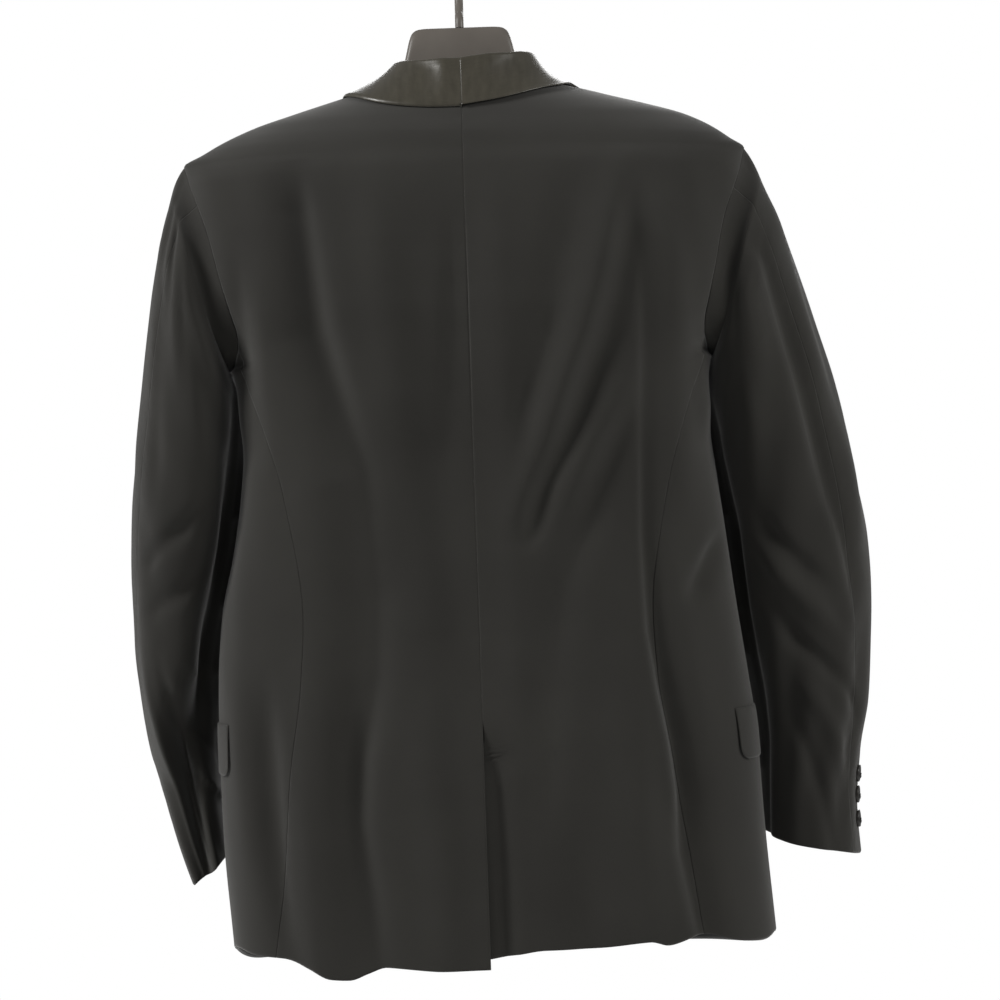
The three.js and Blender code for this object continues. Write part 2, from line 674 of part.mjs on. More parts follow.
// The armhole by the angle round it, from the shoulder tip forwards, as a level and a body angle.
function armholePlace(side, angle) {
  const level = ARMHOLE_MIDDLE + ARMHOLE_HALF_HEIGHT * Math.cos(angle * RADIANS);
  const y = armholeDepth(angle);
  return { level, t: y === 0 ? 0 : angleAtY(side, level, y) };
}

function armholeDepth(angle) {
  const turn = angle - 360 * Math.round(angle / 360);
  return Math.sign(turn) * readTable(ARMHOLE_DEPTHS, "angle", turn < 0 ? "back" : "front", Math.abs(turn));
}

// The angle of the armhole's rear edge (sense -1) or its front edge (sense 1) at a level.
function armholeT(side, sense, level) {
  const share = THREE.MathUtils.clamp((level - ARMHOLE_MIDDLE) / ARMHOLE_HALF_HEIGHT, -1, 1);
  return armholePlace(side, (sense * Math.acos(share)) / RADIANS).t;
}

// The angle that moves a seam edge half a seam gap back from the seam.
function seamStep(side, t, level) {
  const reach = bodyPoint(side, t + SEAM_STEP, level).distanceTo(bodyPoint(side, t - SEAM_STEP, level));
  return (SEAM_GAP * SEAM_STEP) / reach;
}

// A closed wall between an outer and an inner grid of points.
function wallGeometry(outer, inner) {
  const rows = outer.length;
  const columns = outer[0].length;
  const points = [...outer.flat(), ...inner.flat()];
  const indices = [];
  const at = (layer, row, column) => (layer * rows + row) * columns + column;
  const quad = (a, b, c, d) => indices.push(a, b, c, a, c, d);
  for (let row = 0; row < rows - 1; row += 1) {
    for (let column = 0; column < columns - 1; column += 1) {
      quad(at(0, row, column), at(0, row, column + 1), at(0, row + 1, column + 1), at(0, row + 1, column));
      quad(at(1, row, column), at(1, row + 1, column), at(1, row + 1, column + 1), at(1, row, column + 1));
    }
    const end = columns - 1;
    quad(at(0, row, 0), at(0, row + 1, 0), at(1, row + 1, 0), at(1, row, 0));
    quad(at(0, row, end), at(1, row, end), at(1, row + 1, end), at(0, row + 1, end));
  }
  for (let column = 0; column < columns - 1; column += 1) {
    const end = rows - 1;
    quad(at(0, 0, column), at(1, 0, column), at(1, 0, column + 1), at(0, 0, column + 1));
    quad(at(0, end, column), at(0, end, column + 1), at(1, end, column + 1), at(1, end, column));
  }
  return orientedGeometry(points, indices);
}

// A geometry whose faces point out, whichever way its grid ran.
function orientedGeometry(points, indices) {
  let volume = 0;
  for (let i = 0; i < indices.length; i += 3) {
    const [a, b, c] = [points[indices[i]], points[indices[i + 1]], points[indices[i + 2]]];
    volume += a.dot(new THREE.Vector3().crossVectors(b, c));
  }
  const turned = [];
  for (let i = 0; i < indices.length; i += 3) {
    if (volume < 0) turned.push(indices[i], indices[i + 2], indices[i + 1]);
    else turned.push(indices[i], indices[i + 1], indices[i + 2]);
  }
  const geometry = new THREE.BufferGeometry();
  const values = points.flatMap((point) => [point.x, point.y, point.z]);
  geometry.setAttribute("position", new THREE.Float32BufferAttribute(values, 3));
  geometry.setIndex(turned);
  geometry.computeVertexNormals();
  return geometry;
}

// A panel of the body from rows of places, each an angle and a level.
function bodyPanel(side, rows) {
  const outer = rows.map((row) => row.map(({ t, level }) => bodyPoint(side, t, level)));
  const inner = rows.map((row, i) => row.map(({ t, level }, j) => (
    outer[i][j].clone().addScaledVector(bodyNormal(side, t, level), -WALL)
  )));
  return wallGeometry(outer, inner);
}

function levelRow(level, from, to, columns) {
  return Array.from({ length: columns + 1 }, (_, i) => ({
    t: THREE.MathUtils.lerp(from, to, i / columns),
    level,
  }));
}

// The angle of the seam between the side panel and the back (sense -1) or the front (sense 1).
function sideSeamT(side, sense, level) {
  if (level === UNDERARM_SEAM_LEVEL) return armholeT(side, sense, level);
  if (sense < 0) return -angleAtX(side, level, readTable(SIDE_BACK_SEAM, "z", "x", level));
  return angleAtY(side, level, readTable(SIDE_FRONT_SEAM, "z", "y", level));
}

// The angle of the outer edge of a back (sense -1) or a front (sense 1) at a level.
function outerEdgeT(side, sense, level) {
  if (level >= SHOULDER_TIP_LEVEL) return sense * seamStep(side, 0, level);
  if (level > UNDERARM_SEAM_LEVEL) return armholeT(side, sense, level);
  const seam = sideSeamT(side, sense, level);
  return seam + sense * seamStep(side, seam, level);
}

function backPanel(side) {
  return bodyPanel(side, BODY_ROWS.map((level) => {
    const lapped = side > 0 && level < VENT_TOP;
    const centreX = lapped ? -VENT_UNDERLAP : SEAM_GAP / 2;
    return levelRow(level, -angleAtX(side, level, centreX), outerEdgeT(side, -1, level), BACK_COLUMNS);
  }));
}

function frontEdgeT(side, level) {
  return angleAtX(side, level, readTable(FRONT_EDGE, "z", "x", level));
}

function frontPanel(side) {
  return bodyPanel(side, BODY_ROWS.map((level) => (
    levelRow(level, outerEdgeT(side, 1, level), frontEdgeT(side, level), FRONT_COLUMNS)
  )));
}

// The side panel starts at the foot of the armhole, which its first row follows.
function sidePanel(side) {
  const underarm = Array.from({ length: SIDE_COLUMNS + 1 }, (_, i) => {
    const angle = THREE.MathUtils.lerp(-UNDERARM_SEAM_ANGLE, UNDERARM_SEAM_ANGLE - 360, i / SIDE_COLUMNS);
    return armholePlace(side, angle);
  });
  const rows = LOWER_ROWS.map((level) => {
    const from = sideSeamT(side, -1, level);
    const to = sideSeamT(side, 1, level);
    const start = from + seamStep(side, from, level);
    return levelRow(level, start, to - seamStep(side, to, level), SIDE_COLUMNS);
  });
  return bodyPanel(side, [underarm, ...rows]);
}

// A ring of the sleeve below the armhole, at a share of its length and an angle round it.
function sleeveRingPoint(side, angle, along) {
  const table = side < 0 ? LEFT_SLEEVE : RIGHT_SLEEVE;
  const read = (column) => readTable(table, "along", column, along);
  const cosine = Math.cos(angle * RADIANS);
  const sine = Math.sin(angle * RADIANS);
  const across = Math.abs(cosine) ** (2 / SLEEVE_SQUARENESS) * Math.sign(cosine);
  const deep = Math.abs(sine) ** (2 / SLEEVE_SQUARENESS) * Math.sign(sine);
  const outward = (1 + across) / 2;
  const headShare = SLEEVE_HEAD_EASE * smooth(SLEEVE_HEAD_END, 0, along);
  return new THREE.Vector3(
    side * THREE.MathUtils.lerp(read("innerX"), read("outerX"), outward),
    read("forward") + THREE.MathUtils.lerp(read("depth") * deep, armholeDepth(angle), headShare),
    THREE.MathUtils.lerp(read("innerZ"), read("outerZ"), outward),
  );
}

function armholeEdge(side, angle) {
  const place = armholePlace(side, angle);
  const point = bodyPoint(side, place.t, place.level);
  const normal = bodyNormal(side, place.t, place.level);
  const next = armholePlace(side, angle + ARMHOLE_STEP_BESIDE);
  const before = armholePlace(side, angle - ARMHOLE_STEP_BESIDE);
  const along = bodyPoint(side, next.t, next.level).sub(bodyPoint(side, before.t, before.level));
  const outward = along.cross(normal).normalize();
  const middle = new THREE.Vector3(side * sliceAt(side, ARMHOLE_MIDDLE).width, 0, ARMHOLE_MIDDLE);
  if (outward.dot(middle.sub(point)) < 0) outward.negate();
  return { point: point.addScaledVector(outward, SET_IN_GAP), normal };
}

function sleeveFoldRise(side, angle, along) {
  const turn = angle > 180 ? angle - 360 : angle;
  return SLEEVE_FOLDS.filter((fold) => fold.side === side).reduce((sum, fold) => {
    const line = fold.line.map(([degrees, share]) => [degrees, share / DEGREES_TO_SHARE]);
    const near = distanceToLine(line, turn, along / DEGREES_TO_SHARE);
    const fade = smooth(0, SLEEVE_FOLD_FADE, near.before) * smooth(0, SLEEVE_FOLD_FADE, near.after);
    return sum + fold.rise * fade * Math.exp(-((near.distance / fold.half) ** 2));
  }, 0);
}

const FIRST_RING = LEFT_SLEEVE[0].along;

function sleeveSurface(side, angle, along) {
  if (along < FIRST_RING) {
    const ring = sleeveRingPoint(side, angle, FIRST_RING);
    return armholeEdge(side, angle).point.lerp(ring, along / FIRST_RING);
  }
  const point = sleeveRingPoint(side, angle, along);
  const table = side < 0 ? LEFT_SLEEVE : RIGHT_SLEEVE;
  const read = (column) => readTable(table, "along", column, along);
  const middle = new THREE.Vector3(
    (side * (read("outerX") + read("innerX"))) / 2,
    read("forward"),
    (read("outerZ") + read("innerZ")) / 2,
  );
  const outward = point.clone().sub(middle).normalize();
  return point.addScaledVector(outward, sleeveFoldRise(side, angle, along));
}

function sleeveNormal(side, angle, along) {
  if (along === 0) return armholeEdge(side, angle).normal;
  const inside = Math.min(along, SLEEVE_LAST_SLOPE);
  const read = (column) => readTable(side < 0 ? LEFT_SLEEVE : RIGHT_SLEEVE, "along", column, inside);
  const middle = new THREE.Vector3(
    (side * (read("outerX") + read("innerX"))) / 2,
    read("forward"),
    (read("outerZ") + read("innerZ")) / 2,
  );
  const outward = sleeveSurface(side, angle, inside).sub(middle);
  const surface = (a, b) => sleeveSurface(side, a, b);
  return surfaceNormal(surface, angle, inside, SLEEVE_STEP, SLEEVE_LENGTH_STEP, outward);
}

// Top sleeve (upper true) or under sleeve, between the two sleeve seams.
function sleevePanel(side, upper) {
  const seams = side < 0 ? LEFT_SLEEVE_SEAMS : RIGHT_SLEEVE_SEAMS;
  const outer = [];
  const inner = [];
  SLEEVE_ROWS.forEach((along) => {
    const back = readTable(seams, "along", "back", along);
    const front = readTable(seams, "along", "front", along);
    const step = (angle) => {
      const before = sleeveSurface(side, angle - SLEEVE_SEAM_STEP, along);
      const reach = sleeveSurface(side, angle + SLEEVE_SEAM_STEP, along).distanceTo(before);
      return (SEAM_GAP * SLEEVE_SEAM_STEP) / reach;
    };
    const from = upper ? back + step(back) : front + step(front);
    const to = upper ? front - step(front) : back + 360 - step(back);
    const outerRow = [];
    const innerRow = [];
    for (let column = 0; column <= SLEEVE_COLUMNS; column += 1) {
      const angle = THREE.MathUtils.lerp(from, to, column / SLEEVE_COLUMNS);
      const point = sleeveSurface(side, angle, along);
      outerRow.push(point);
      innerRow.push(point.clone().addScaledVector(sleeveNormal(side, angle, along), -WALL));
    }
    outer.push(outerRow);
    inner.push(innerRow);
  });
  return wallGeometry(outer, inner);
}

// The middle of the wall at the seam that the collar is sewn to, and the way on from the seam.
function collarSeam(side, t, level, onward) {
  const point = bodyPoint(side, t, level);
  const normal = bodyNormal(side, t, level);
  const way = onward.clone().addScaledVector(normal, -onward.dot(normal)).normalize();
  return { base: point.addScaledVector(normal, -WALL / 2), normal, way };
}

function leafEdge(side, t, level) {
  const normal = bodyNormal(side, t, level);
  const point = bodyPoint(side, t, level).addScaledVector(normal, LEAF_LIFT + COLLAR_WALL / 2);
  return { point, normal };
}

// The way over the rolled edge and down to the leaf's edge. aside points from the stand to the leaf.
function rollAndLeaf(fold, aside, up, roll, leaf, hugShare) {
  const points = [];
  for (let step = 0; step <= FOLD_STEPS; step += 1) {
    const turn = Math.PI * (step / FOLD_STEPS);
    const point = fold.clone().addScaledVector(aside, (-roll / 2) * Math.cos(turn));
    points.push(point.addScaledVector(up, (roll / 2) * Math.sin(turn)));
  }
  const outer = fold.clone().addScaledVector(aside, roll / 2);
  const back = outer.clone().sub(leaf.point);
  const reach = back.length();
  const hug = back.addScaledVector(leaf.normal, -back.dot(leaf.normal)).normalize();
  const control = leaf.point.clone().addScaledVector(hug, reach * hugShare);
  const drop = new THREE.QuadraticBezierCurve3(outer, control, leaf.point);
  for (let step = 1; step <= LEAF_STEPS; step += 1) points.push(drop.getPoint(step / LEAF_STEPS));
  return points;
}

// A section of the collar: up from the seam, over the rolled edge, and down to the leaf's edge.
function collarSection(seam, fold, leaf) {
  const start = seam.base.clone().addScaledVector(seam.way, COLLAR_SEAM_GAP);
  const across = leaf.point.clone().sub(fold).setZ(0).normalize();
  const up = fold.clone().sub(start).normalize();
  const aside = across.addScaledVector(up, -across.dot(up)).normalize();
  const inner = fold.clone().addScaledVector(aside, -NECK_ROLL / 2);
  const lead = start.clone().addScaledVector(seam.way, start.distanceTo(inner) * STAND_LEAN);
  const curve = new THREE.QuadraticBezierCurve3(start, lead, inner);
  const stand = Array.from({ length: STAND_STEPS }, (_, step) => curve.getPoint(step / STAND_STEPS));
  return [...stand, ...rollAndLeaf(fold, aside, up, NECK_ROLL, leaf, NECK_LEAF_HUG)];
}

// A section of the lapel: on from the front's edge, round the roll line, and out over the front.
function lapelSection(seam, fold, roll, leaf) {
  const start = seam.base.clone().addScaledVector(seam.way, COLLAR_SEAM_GAP);
  const inner = fold.clone().addScaledVector(seam.normal, -roll / 2);
  const stand = Array.from({ length: STAND_STEPS }, (_, step) => (
    start.clone().lerp(inner, step / STAND_STEPS)
  ));
  return [...stand, ...rollAndLeaf(fold, seam.normal, seam.way, roll, leaf, LAPEL_LEAF_HUG)];
}

function collarSections(side) {
  const up = new THREE.Vector3(0, 0, 1);
  const neck = COLLAR_SECTIONS.map((row) => {
    const centred = row.t <= -90;
    const last = frontEdgeT(side, NECK_LEVEL);
    const t = centred ? -angleAtX(side, NECK_LEVEL, SEAM_GAP / 2) : Math.min(row.t, last);
    const leafT = centred ? -angleAtX(side, row.leafLevel, SEAM_GAP / 2) : row.leafT;
    const foldX = centred ? SEAM_GAP / 2 : row.foldX;
    const fold = new THREE.Vector3(side * foldX, row.foldY, row.foldZ);
    const seam = collarSeam(side, t, NECK_LEVEL, up);
    return collarSection(seam, fold, leafEdge(side, leafT, row.leafLevel));
  });
  const lapelRows = BODY_ROWS.filter((level) => level < NECK_LEVEL && level >= LAPEL_FOOT);
  const lapel = lapelRows.map((level) => {
    const read = (column) => readTable(LAPEL_SHAPE, "level", column, level);
    const rising = THREE.MathUtils.lerp(STAND_LEAN, 1, smooth(GORGE_FOOT, GORGE_TOP, level));
    const toCentre = new THREE.Vector3(-side, 0, rising);
    const seam = collarSeam(side, frontEdgeT(side, level), level, toCentre);
    const roll = read("roll");
    const fold = seam.base
      .clone()
      .addScaledVector(seam.way, read("rise"))
      .addScaledVector(seam.normal, roll / 2);
    const leafLevel = read("leafLevel");
    const leafT = angleAtX(side, leafLevel, read("leafX"));
    return lapelSection(seam, fold, roll, leafEdge(side, leafT, leafLevel));
  });
  return [...neck, ...lapel];
}

// A wall of even thickness about a grid of middle points.
function wallAboutMiddle(grid, thickness) {
  const outer = [];
  const inner = [];
  grid.forEach((row, i) => {
    const outerRow = [];
    const innerRow = [];
    row.forEach((point, j) => {
      const before = grid[Math.max(i - 1, 0)][j];
      const after = grid[Math.min(i + 1, grid.length - 1)][j];
      const left = row[Math.max(j - 1, 0)];
      const right = row[Math.min(j + 1, row.length - 1)];
      const normal = after.clone().sub(before).cross(right.clone().sub(left)).normalize();
      outerRow.push(point.clone().addScaledVector(normal, thickness / 2));
      innerRow.push(point.clone().addScaledVector(normal, -thickness / 2));
    });
    outer.push(outerRow);
    inner.push(innerRow);
  });
  return wallGeometry(outer, inner);
}

function collar(side) {
  return wallAboutMiddle(collarSections(side), COLLAR_WALL);
}

// A pocket flap lies on the side and front panels, so it is made from their points, moved out.
function pocketFlap(side) {
  const middle = (FLAP_TOP + FLAP_BOTTOM) / 2;
  const start = -angleAtX(side, middle, FLAP_REAR_X);
  const angles = [start];
  while (angles.length <= FLAP_COLUMNS) {
    const t = angles[angles.length - 1];
    const before = bodyPoint(side, t - FLAP_STEP, middle);
    const reach = bodyPoint(side, t + FLAP_STEP, middle).distanceTo(before) / (2 * FLAP_STEP);
    angles.push(t + FLAP_LENGTH / FLAP_COLUMNS / reach);
  }
  const levels = [FLAP_TOP, middle, FLAP_BOTTOM];
  const lifted = (extra) => levels.map((level, row) => angles.map((t, column) => {
    const flare = FLAP_REAR_FLARE * smooth(FLAP_FLARE_COLUMNS, 0, column) * (row / (levels.length - 1));
    const lift = FLAP_STANDOFF + flare + extra;
    return bodyPoint(side, t, level).addScaledVector(bodyNormal(side, t, level), lift);
  }));
  return wallGeometry(lifted(WALL), lifted(0));
}

// A sewn button: a disc with a raised rim round a shallow well.
function buttonGeometry(radius) {
  const well = BUTTON_HEIGHT * BUTTON_WELL_SHARE;
  const profile = [
    [0, 0],
    [radius * BUTTON_BACK_SHARE, 0],
    [radius, BUTTON_HEIGHT * BUTTON_EDGE_SHARE],
    [radius * BUTTON_RIM_SHARE, BUTTON_HEIGHT],
    [radius * BUTTON_WELL_WIDTH, well],
    [0, well],
  ];
  const points = profile.map(([x, y]) => new THREE.Vector2(x, y));
  return new THREE.LatheGeometry(points, BUTTON_SEGMENTS);
}

// A button's middle sits a little off the cloth, turned to face along the cloth's normal.
function placeButton(mesh, point, normal) {
  mesh.quaternion.setFromUnitVectors(new THREE.Vector3(0, 1, 0), normal);
  mesh.position.copy(point).addScaledVector(normal, BUTTON_SEAT);
}

// The ridge of the shoulder at a distance from the centre line.
function ridgeLevel(side, x) {
  let high = NECK_LEVEL;
  let low = SHOULDER_TIP_LEVEL;
  for (let step = 0; step < RIDGE_HALVINGS; step += 1) {
    const middle = (high + low) / 2;
    if (sliceAt(side, middle).width < x) high = middle;
    else low = middle;
  }
  return (high + low) / 2;
}

function hangerStations(side) {
  const arm = HANGER_ARM.map(({ x, height, depth }) => {
    const tip = Math.max(x - HANGER_TIP_START, 0) * HANGER_TIP_DROP;
    const top = ridgeLevel(side, x) - WALL - HANGER_SEAT - tip;
    return { x, top, bottom: top - height, depth };
  });
  return [...HANGER_HUMP, ...arm];
}

function hangerGeometry() {
  const left = hangerStations(-1).slice(1).reverse().map((row) => ({ ...row, x: -row.x }));
  const stations = [...left, ...hangerStations(1)];
  const points = [];
  stations.forEach(({ x, top, bottom, depth }) => {
    for (let corner = 0; corner < HANGER_SIDES; corner += 1) {
      const turn = (corner / HANGER_SIDES) * 2 * Math.PI;
      const power = 2 / (Math.abs(x) < HANGER_NECK_REACH ? HANGER_NECK_SQUARENESS : HANGER_ARM_SQUARENESS);
      const across = Math.abs(Math.cos(turn)) ** power * Math.sign(Math.cos(turn));
      const upward = Math.abs(Math.sin(turn)) ** power * Math.sign(Math.sin(turn));
      points.push(new THREE.Vector3(x, depth * across, (top + bottom) / 2 + ((top - bottom) / 2) * upward));
    }
  });
  return tubeFromRings(points, stations.length, HANGER_SIDES);
}

// A closed solid from rings of points, each end capped by a fan about its middle.
function tubeFromRings(points, rings, sides) {
  const indices = [];
  for (let ring = 0; ring < rings - 1; ring += 1) {
    for (let corner = 0; corner < sides; corner += 1) {
      const a = ring * sides + corner;
      const b = ring * sides + ((corner + 1) % sides);
      indices.push(a, b, b + sides, a, b + sides, a + sides);
    }
  }
  [0, rings - 1].forEach((ring) => {
    const middle = new THREE.Vector3();
    for (let corner = 0; corner < sides; corner += 1) middle.add(points[ring * sides + corner]);
    points.push(middle.divideScalar(sides));
    const hub = points.length - 1;
    for (let corner = 0; corner < sides; corner += 1) {
      const a = ring * sides + corner;
      const b = ring * sides + ((corner + 1) % sides);
      if (ring === 0) indices.push(hub, b, a);
      else indices.push(hub, a, b);
    }
  });
  return orientedGeometry(points, indices);
}

// The hook stands in the plane that runs from back to front: a stem, a bend and three quarters of a loop.
function hookGeometry() {
  const radius = HOOK_INNER_RADIUS + HOOK_THICKNESS / 2;
  const centreZ = -HOOK_INNER_RADIUS;
  const path = [
    new THREE.Vector2(0, CROWN_LEVEL + SEAM_GAP),
    ...HOOK_BEND.map(({ y, rise }) => new THREE.Vector2(y, CROWN_LEVEL + rise)),
  ];
  for (let angle = HOOK_LOOP_START; angle <= HOOK_LOOP_END; angle += HOOK_STEP) {
    const turn = angle * RADIANS;
    path.push(new THREE.Vector2(radius * Math.cos(turn), centreZ + radius * Math.sin(turn)));
  }
  const points = [];
  path.forEach((place, i) => {
    const before = path[Math.max(i - 1, 0)];
    const after = path[Math.min(i + 1, path.length - 1)];
    const along = after.clone().sub(before).normalize();
    for (let corner = 0; corner < HOOK_SIDES; corner += 1) {
      const turn = (corner / HOOK_SIDES) * 2 * Math.PI;
      const aside = (HOOK_THICKNESS / 2) * Math.cos(turn);
      const out = (HOOK_THICKNESS / 2) * Math.sin(turn);
      points.push(new THREE.Vector3(aside, place.x - along.y * out, place.y + along.x * out));
    }
  });
  return tubeFromRings(points, path.length, HOOK_SIDES);
}

function namedMesh(name, geometry, finish) {
  const mesh = new THREE.Mesh(geometry, new THREE.MeshStandardMaterial({ ...finish, metalness: 0 }));
  mesh.name = name;
  return mesh;
}

function cuffButtons(side, sideName) {
  const group = new THREE.Group();
  const angle = CUFF_BUTTON_ANGLES[sideName];
  CUFF_BUTTON_LEVELS.forEach((along, i) => {
    const button = namedMesh(
      `cuff_button_${sideName}_${i + 1}`,
      buttonGeometry(CUFF_BUTTON_RADIUS),
      BUTTON_PLASTIC,
    );
    placeButton(button, sleeveSurface(side, angle, along), sleeveNormal(side, angle, along));
    group.add(button);
  });
  return group;
}

function closingButton() {
  const button = namedMesh("front_button", buttonGeometry(FRONT_BUTTON_RADIUS), BUTTON_PLASTIC);
  const t = angleAtX(-1, CLOSING_BUTTON_LEVEL, SEAM_GAP);
  placeButton(button, bodyPoint(-1, t, CLOSING_BUTTON_LEVEL), bodyNormal(-1, t, CLOSING_BUTTON_LEVEL));
  return button;
}

const jacket = new THREE.Group();
[["left", -1], ["right", 1]].forEach(([sideName, side]) => {
  jacket.add(namedMesh(`back_${sideName}`, backPanel(side), WOOL));
  jacket.add(namedMesh(`side_${sideName}`, sidePanel(side), WOOL));
  jacket.add(namedMesh(`front_${sideName}`, frontPanel(side), WOOL));
  jacket.add(namedMesh(`top_sleeve_${sideName}`, sleevePanel(side, true), WOOL));
  jacket.add(namedMesh(`under_sleeve_${sideName}`, sleevePanel(side, false), WOOL));
  jacket.add(namedMesh(`collar_${sideName}`, collar(side), SATIN));
  jacket.add(namedMesh(`pocket_flap_${sideName}`, pocketFlap(side), WOOL));
  jacket.add(cuffButtons(side, sideName));
});
jacket.add(closingButton());
jacket.add(namedMesh("hanger", hangerGeometry(), HANGER_PLASTIC));
jacket.add(namedMesh("hook", hookGeometry(), HANGER_PLASTIC));

export default jacket;
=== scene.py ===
"""A man's dinner jacket hung on a contoured suit hanger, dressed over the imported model.

Tables and sizes are in millimetres in the model's own frame, and meshes are made in metres.
+Z is up, the back of the jacket faces -Y, and the origin is where the hook bears on its rail.
"""

import logging
import math
from dataclasses import dataclass, field
from enum import Enum
from typing import Iterable, Sequence

import bmesh
import bpy
import numpy as np
from mathutils import Matrix, Vector


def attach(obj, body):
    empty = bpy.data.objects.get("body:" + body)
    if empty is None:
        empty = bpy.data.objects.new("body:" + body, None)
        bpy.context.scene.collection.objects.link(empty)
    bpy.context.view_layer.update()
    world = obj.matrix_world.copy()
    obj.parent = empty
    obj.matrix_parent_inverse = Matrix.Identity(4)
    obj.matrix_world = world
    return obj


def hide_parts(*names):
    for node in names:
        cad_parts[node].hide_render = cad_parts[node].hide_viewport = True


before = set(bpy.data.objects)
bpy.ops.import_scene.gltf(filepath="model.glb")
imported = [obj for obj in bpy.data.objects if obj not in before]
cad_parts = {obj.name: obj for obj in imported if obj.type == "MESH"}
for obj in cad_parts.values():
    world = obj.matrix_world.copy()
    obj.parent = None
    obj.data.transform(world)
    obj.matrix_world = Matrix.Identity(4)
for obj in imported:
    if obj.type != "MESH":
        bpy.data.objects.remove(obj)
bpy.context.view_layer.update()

LOG = logging.getLogger("dinner_jacket")
MM = 0.001
RADIANS = math.pi / 180
BODY = "root"


class Side(Enum):
    """The wearer's left (-X) or right (+X)."""

    LEFT = -1
    RIGHT = 1

    @property
    def word(self) -> str:
        """The side's word in a piece's name."""
        return self.name.lower()


class Face(Enum):
    """The face of the body that a fold lies on."""

    BACK = "back"
    FRONT = "front"


class Edge(Enum):
    """How the edge of a cloth piece is finished."""

    SEAM = "sewn into its neighbour"
    FREE = "turned and pressed"


def smooth(start: float, end: float, value: np.ndarray) -> np.ndarray:
    """A soft step from 0 at start to 1 at end.

    Args:
        start: Value where the step begins.
        end: Value where it is full, above or below start.
        value: Values to read it at.

    Returns:
        The height of the step at each value.
    """
    share = np.clip((np.asarray(value, float) - start) / (end - start), 0, 1)
    return share * share * (3 - 2 * share)


def mix(low: np.ndarray, high: np.ndarray, share: np.ndarray) -> np.ndarray:
    """The place at a share of the way from low to high."""
    return low + (high - low) * share


def signed_power(value: np.ndarray, power: np.ndarray) -> np.ndarray:
    """The power of a value's size, with the value's sign."""
    return np.sign(value) * np.abs(value) ** power


def bell(value: np.ndarray) -> np.ndarray:
    """A bell curve of height one and half width one."""
    return np.exp(-(value**2))


def unit(vectors: np.ndarray) -> np.ndarray:
    """Vectors of length one."""
    return vectors / np.maximum(np.linalg.norm(vectors, axis=-1, keepdims=True), 1e-9)


class Table:
    """Rows of named columns, read smoothly by the first column."""

    def __init__(self, names: str, rows: Sequence[Sequence[float]]) -> None:
        """Sorts the rows by their key.

        Args:
            names: Names of the columns, the key first.
            rows: The rows.
        """
        values = np.array(sorted(rows), float)
        self.key = values[:, 0]
        self.columns = {name: values[:, i] for i, name in enumerate(names.split())}

    def read(self, name: str, at: np.ndarray) -> np.ndarray:
        """Reads a column by a cubic without overshoot.

        Args:
            name: The column.
            at: Keys to read it at.

        Returns:
            The column's values there.
        """
        column, span = self.columns[name], np.diff(self.key)
        slope = np.diff(column) / span
        product = slope[:-1] * slope[1:]
        total = np.where(product > 0, slope[:-1] + slope[1:], 1)
        inner = np.where(product > 0, 2 * product / total, 0)
        knots = np.concatenate([slope[:1], inner, slope[-1:]])
        row = np.clip(np.searchsorted(self.key, at) - 1, 0, len(span) - 1)
        share = np.clip((at - self.key[row]) / span[row], 0, 1)
        square, cube = share**2, share**3
        return (
            (2 * cube - 3 * square + 1) * column[row]
            + (cube - 2 * square + share) * span[row] * knots[row]
            + (3 * square - 2 * cube) * column[row + 1]
            + (cube - square) * span[row] * knots[row + 1]
        )


@dataclass(frozen=True)
class Fold:
    """A soft ridge (rise over zero) or trough (rise under zero) along a line of stations.

    Each station is a place on the cloth in two coordinates, the half width and the rise.
    lean narrows the flank on one side of the line, so that the fold is steeper there.
    """

    name: str
    line: tuple[tuple[float, float, float, float], ...]
    lean: float = 0.0

    def rise_at(self, across: np.ndarray, down: np.ndarray) -> np.ndarray:
        """Height of the fold.

        Args:
            across: First coordinates of the places.
            down: Second coordinates of the places.

        Returns:
            The rise at each place.
        """
        nearest = np.full(np.shape(across), np.inf)
        rise = np.zeros(np.shape(across))
        for (a0, b0, half0, rise0), (a1, b1, half1, rise1) in zip(self.line, self.line[1:]):
            run_a, run_b = a1 - a0, b1 - b0
            share = ((across - a0) * run_a + (down - b0) * run_b) / (run_a**2 + run_b**2)
            share = np.clip(share, 0, 1)
            off_a, off_b = across - a0 - share * run_a, down - b0 - share * run_b
            gap = np.hypot(off_a, off_b)
            turn = np.tanh((off_a * run_b - off_b * run_a) / (math.hypot(run_a, run_b) * 4))
            half = mix(half0, half1, share) * (1 - self.lean * turn)
            value = mix(rise0, rise1, share) * bell(gap / half)
            rise = np.where(gap < nearest, value, rise)
            nearest = np.minimum(gap, nearest)
        return rise


@dataclass(frozen=True)
class Drape:
    """The faint uneven waviness of hanging cloth, from a few long seeded waves."""

    seed: int
    height: float
    waves: int = 12
    across: tuple[float, float] = (38.0, 120.0)
    down: tuple[float, float] = (170.0, 520.0)

    def rise_at(self, across: np.ndarray, down: np.ndarray) -> np.ndarray:
        """Height of the waviness.

        Args:
            across: Places across the cloth.
            down: Places down the cloth.

        Returns:
            The rise at each place.
        """
        draws = np.random.default_rng(self.seed)
        rise = np.zeros(np.shape(across))
        for _ in range(self.waves):
            width, length = draws.uniform(*self.across), draws.uniform(*self.down)
            phase, turn = draws.uniform(0, 2 * np.pi, 2)
            bend = 0.9 * np.sin(2 * np.pi * down / (1.7 * length) + turn)
            rise += np.sin(2 * np.pi * (across / width + down / length) + bend + phase)
        return rise * self.height / math.sqrt(self.waves)


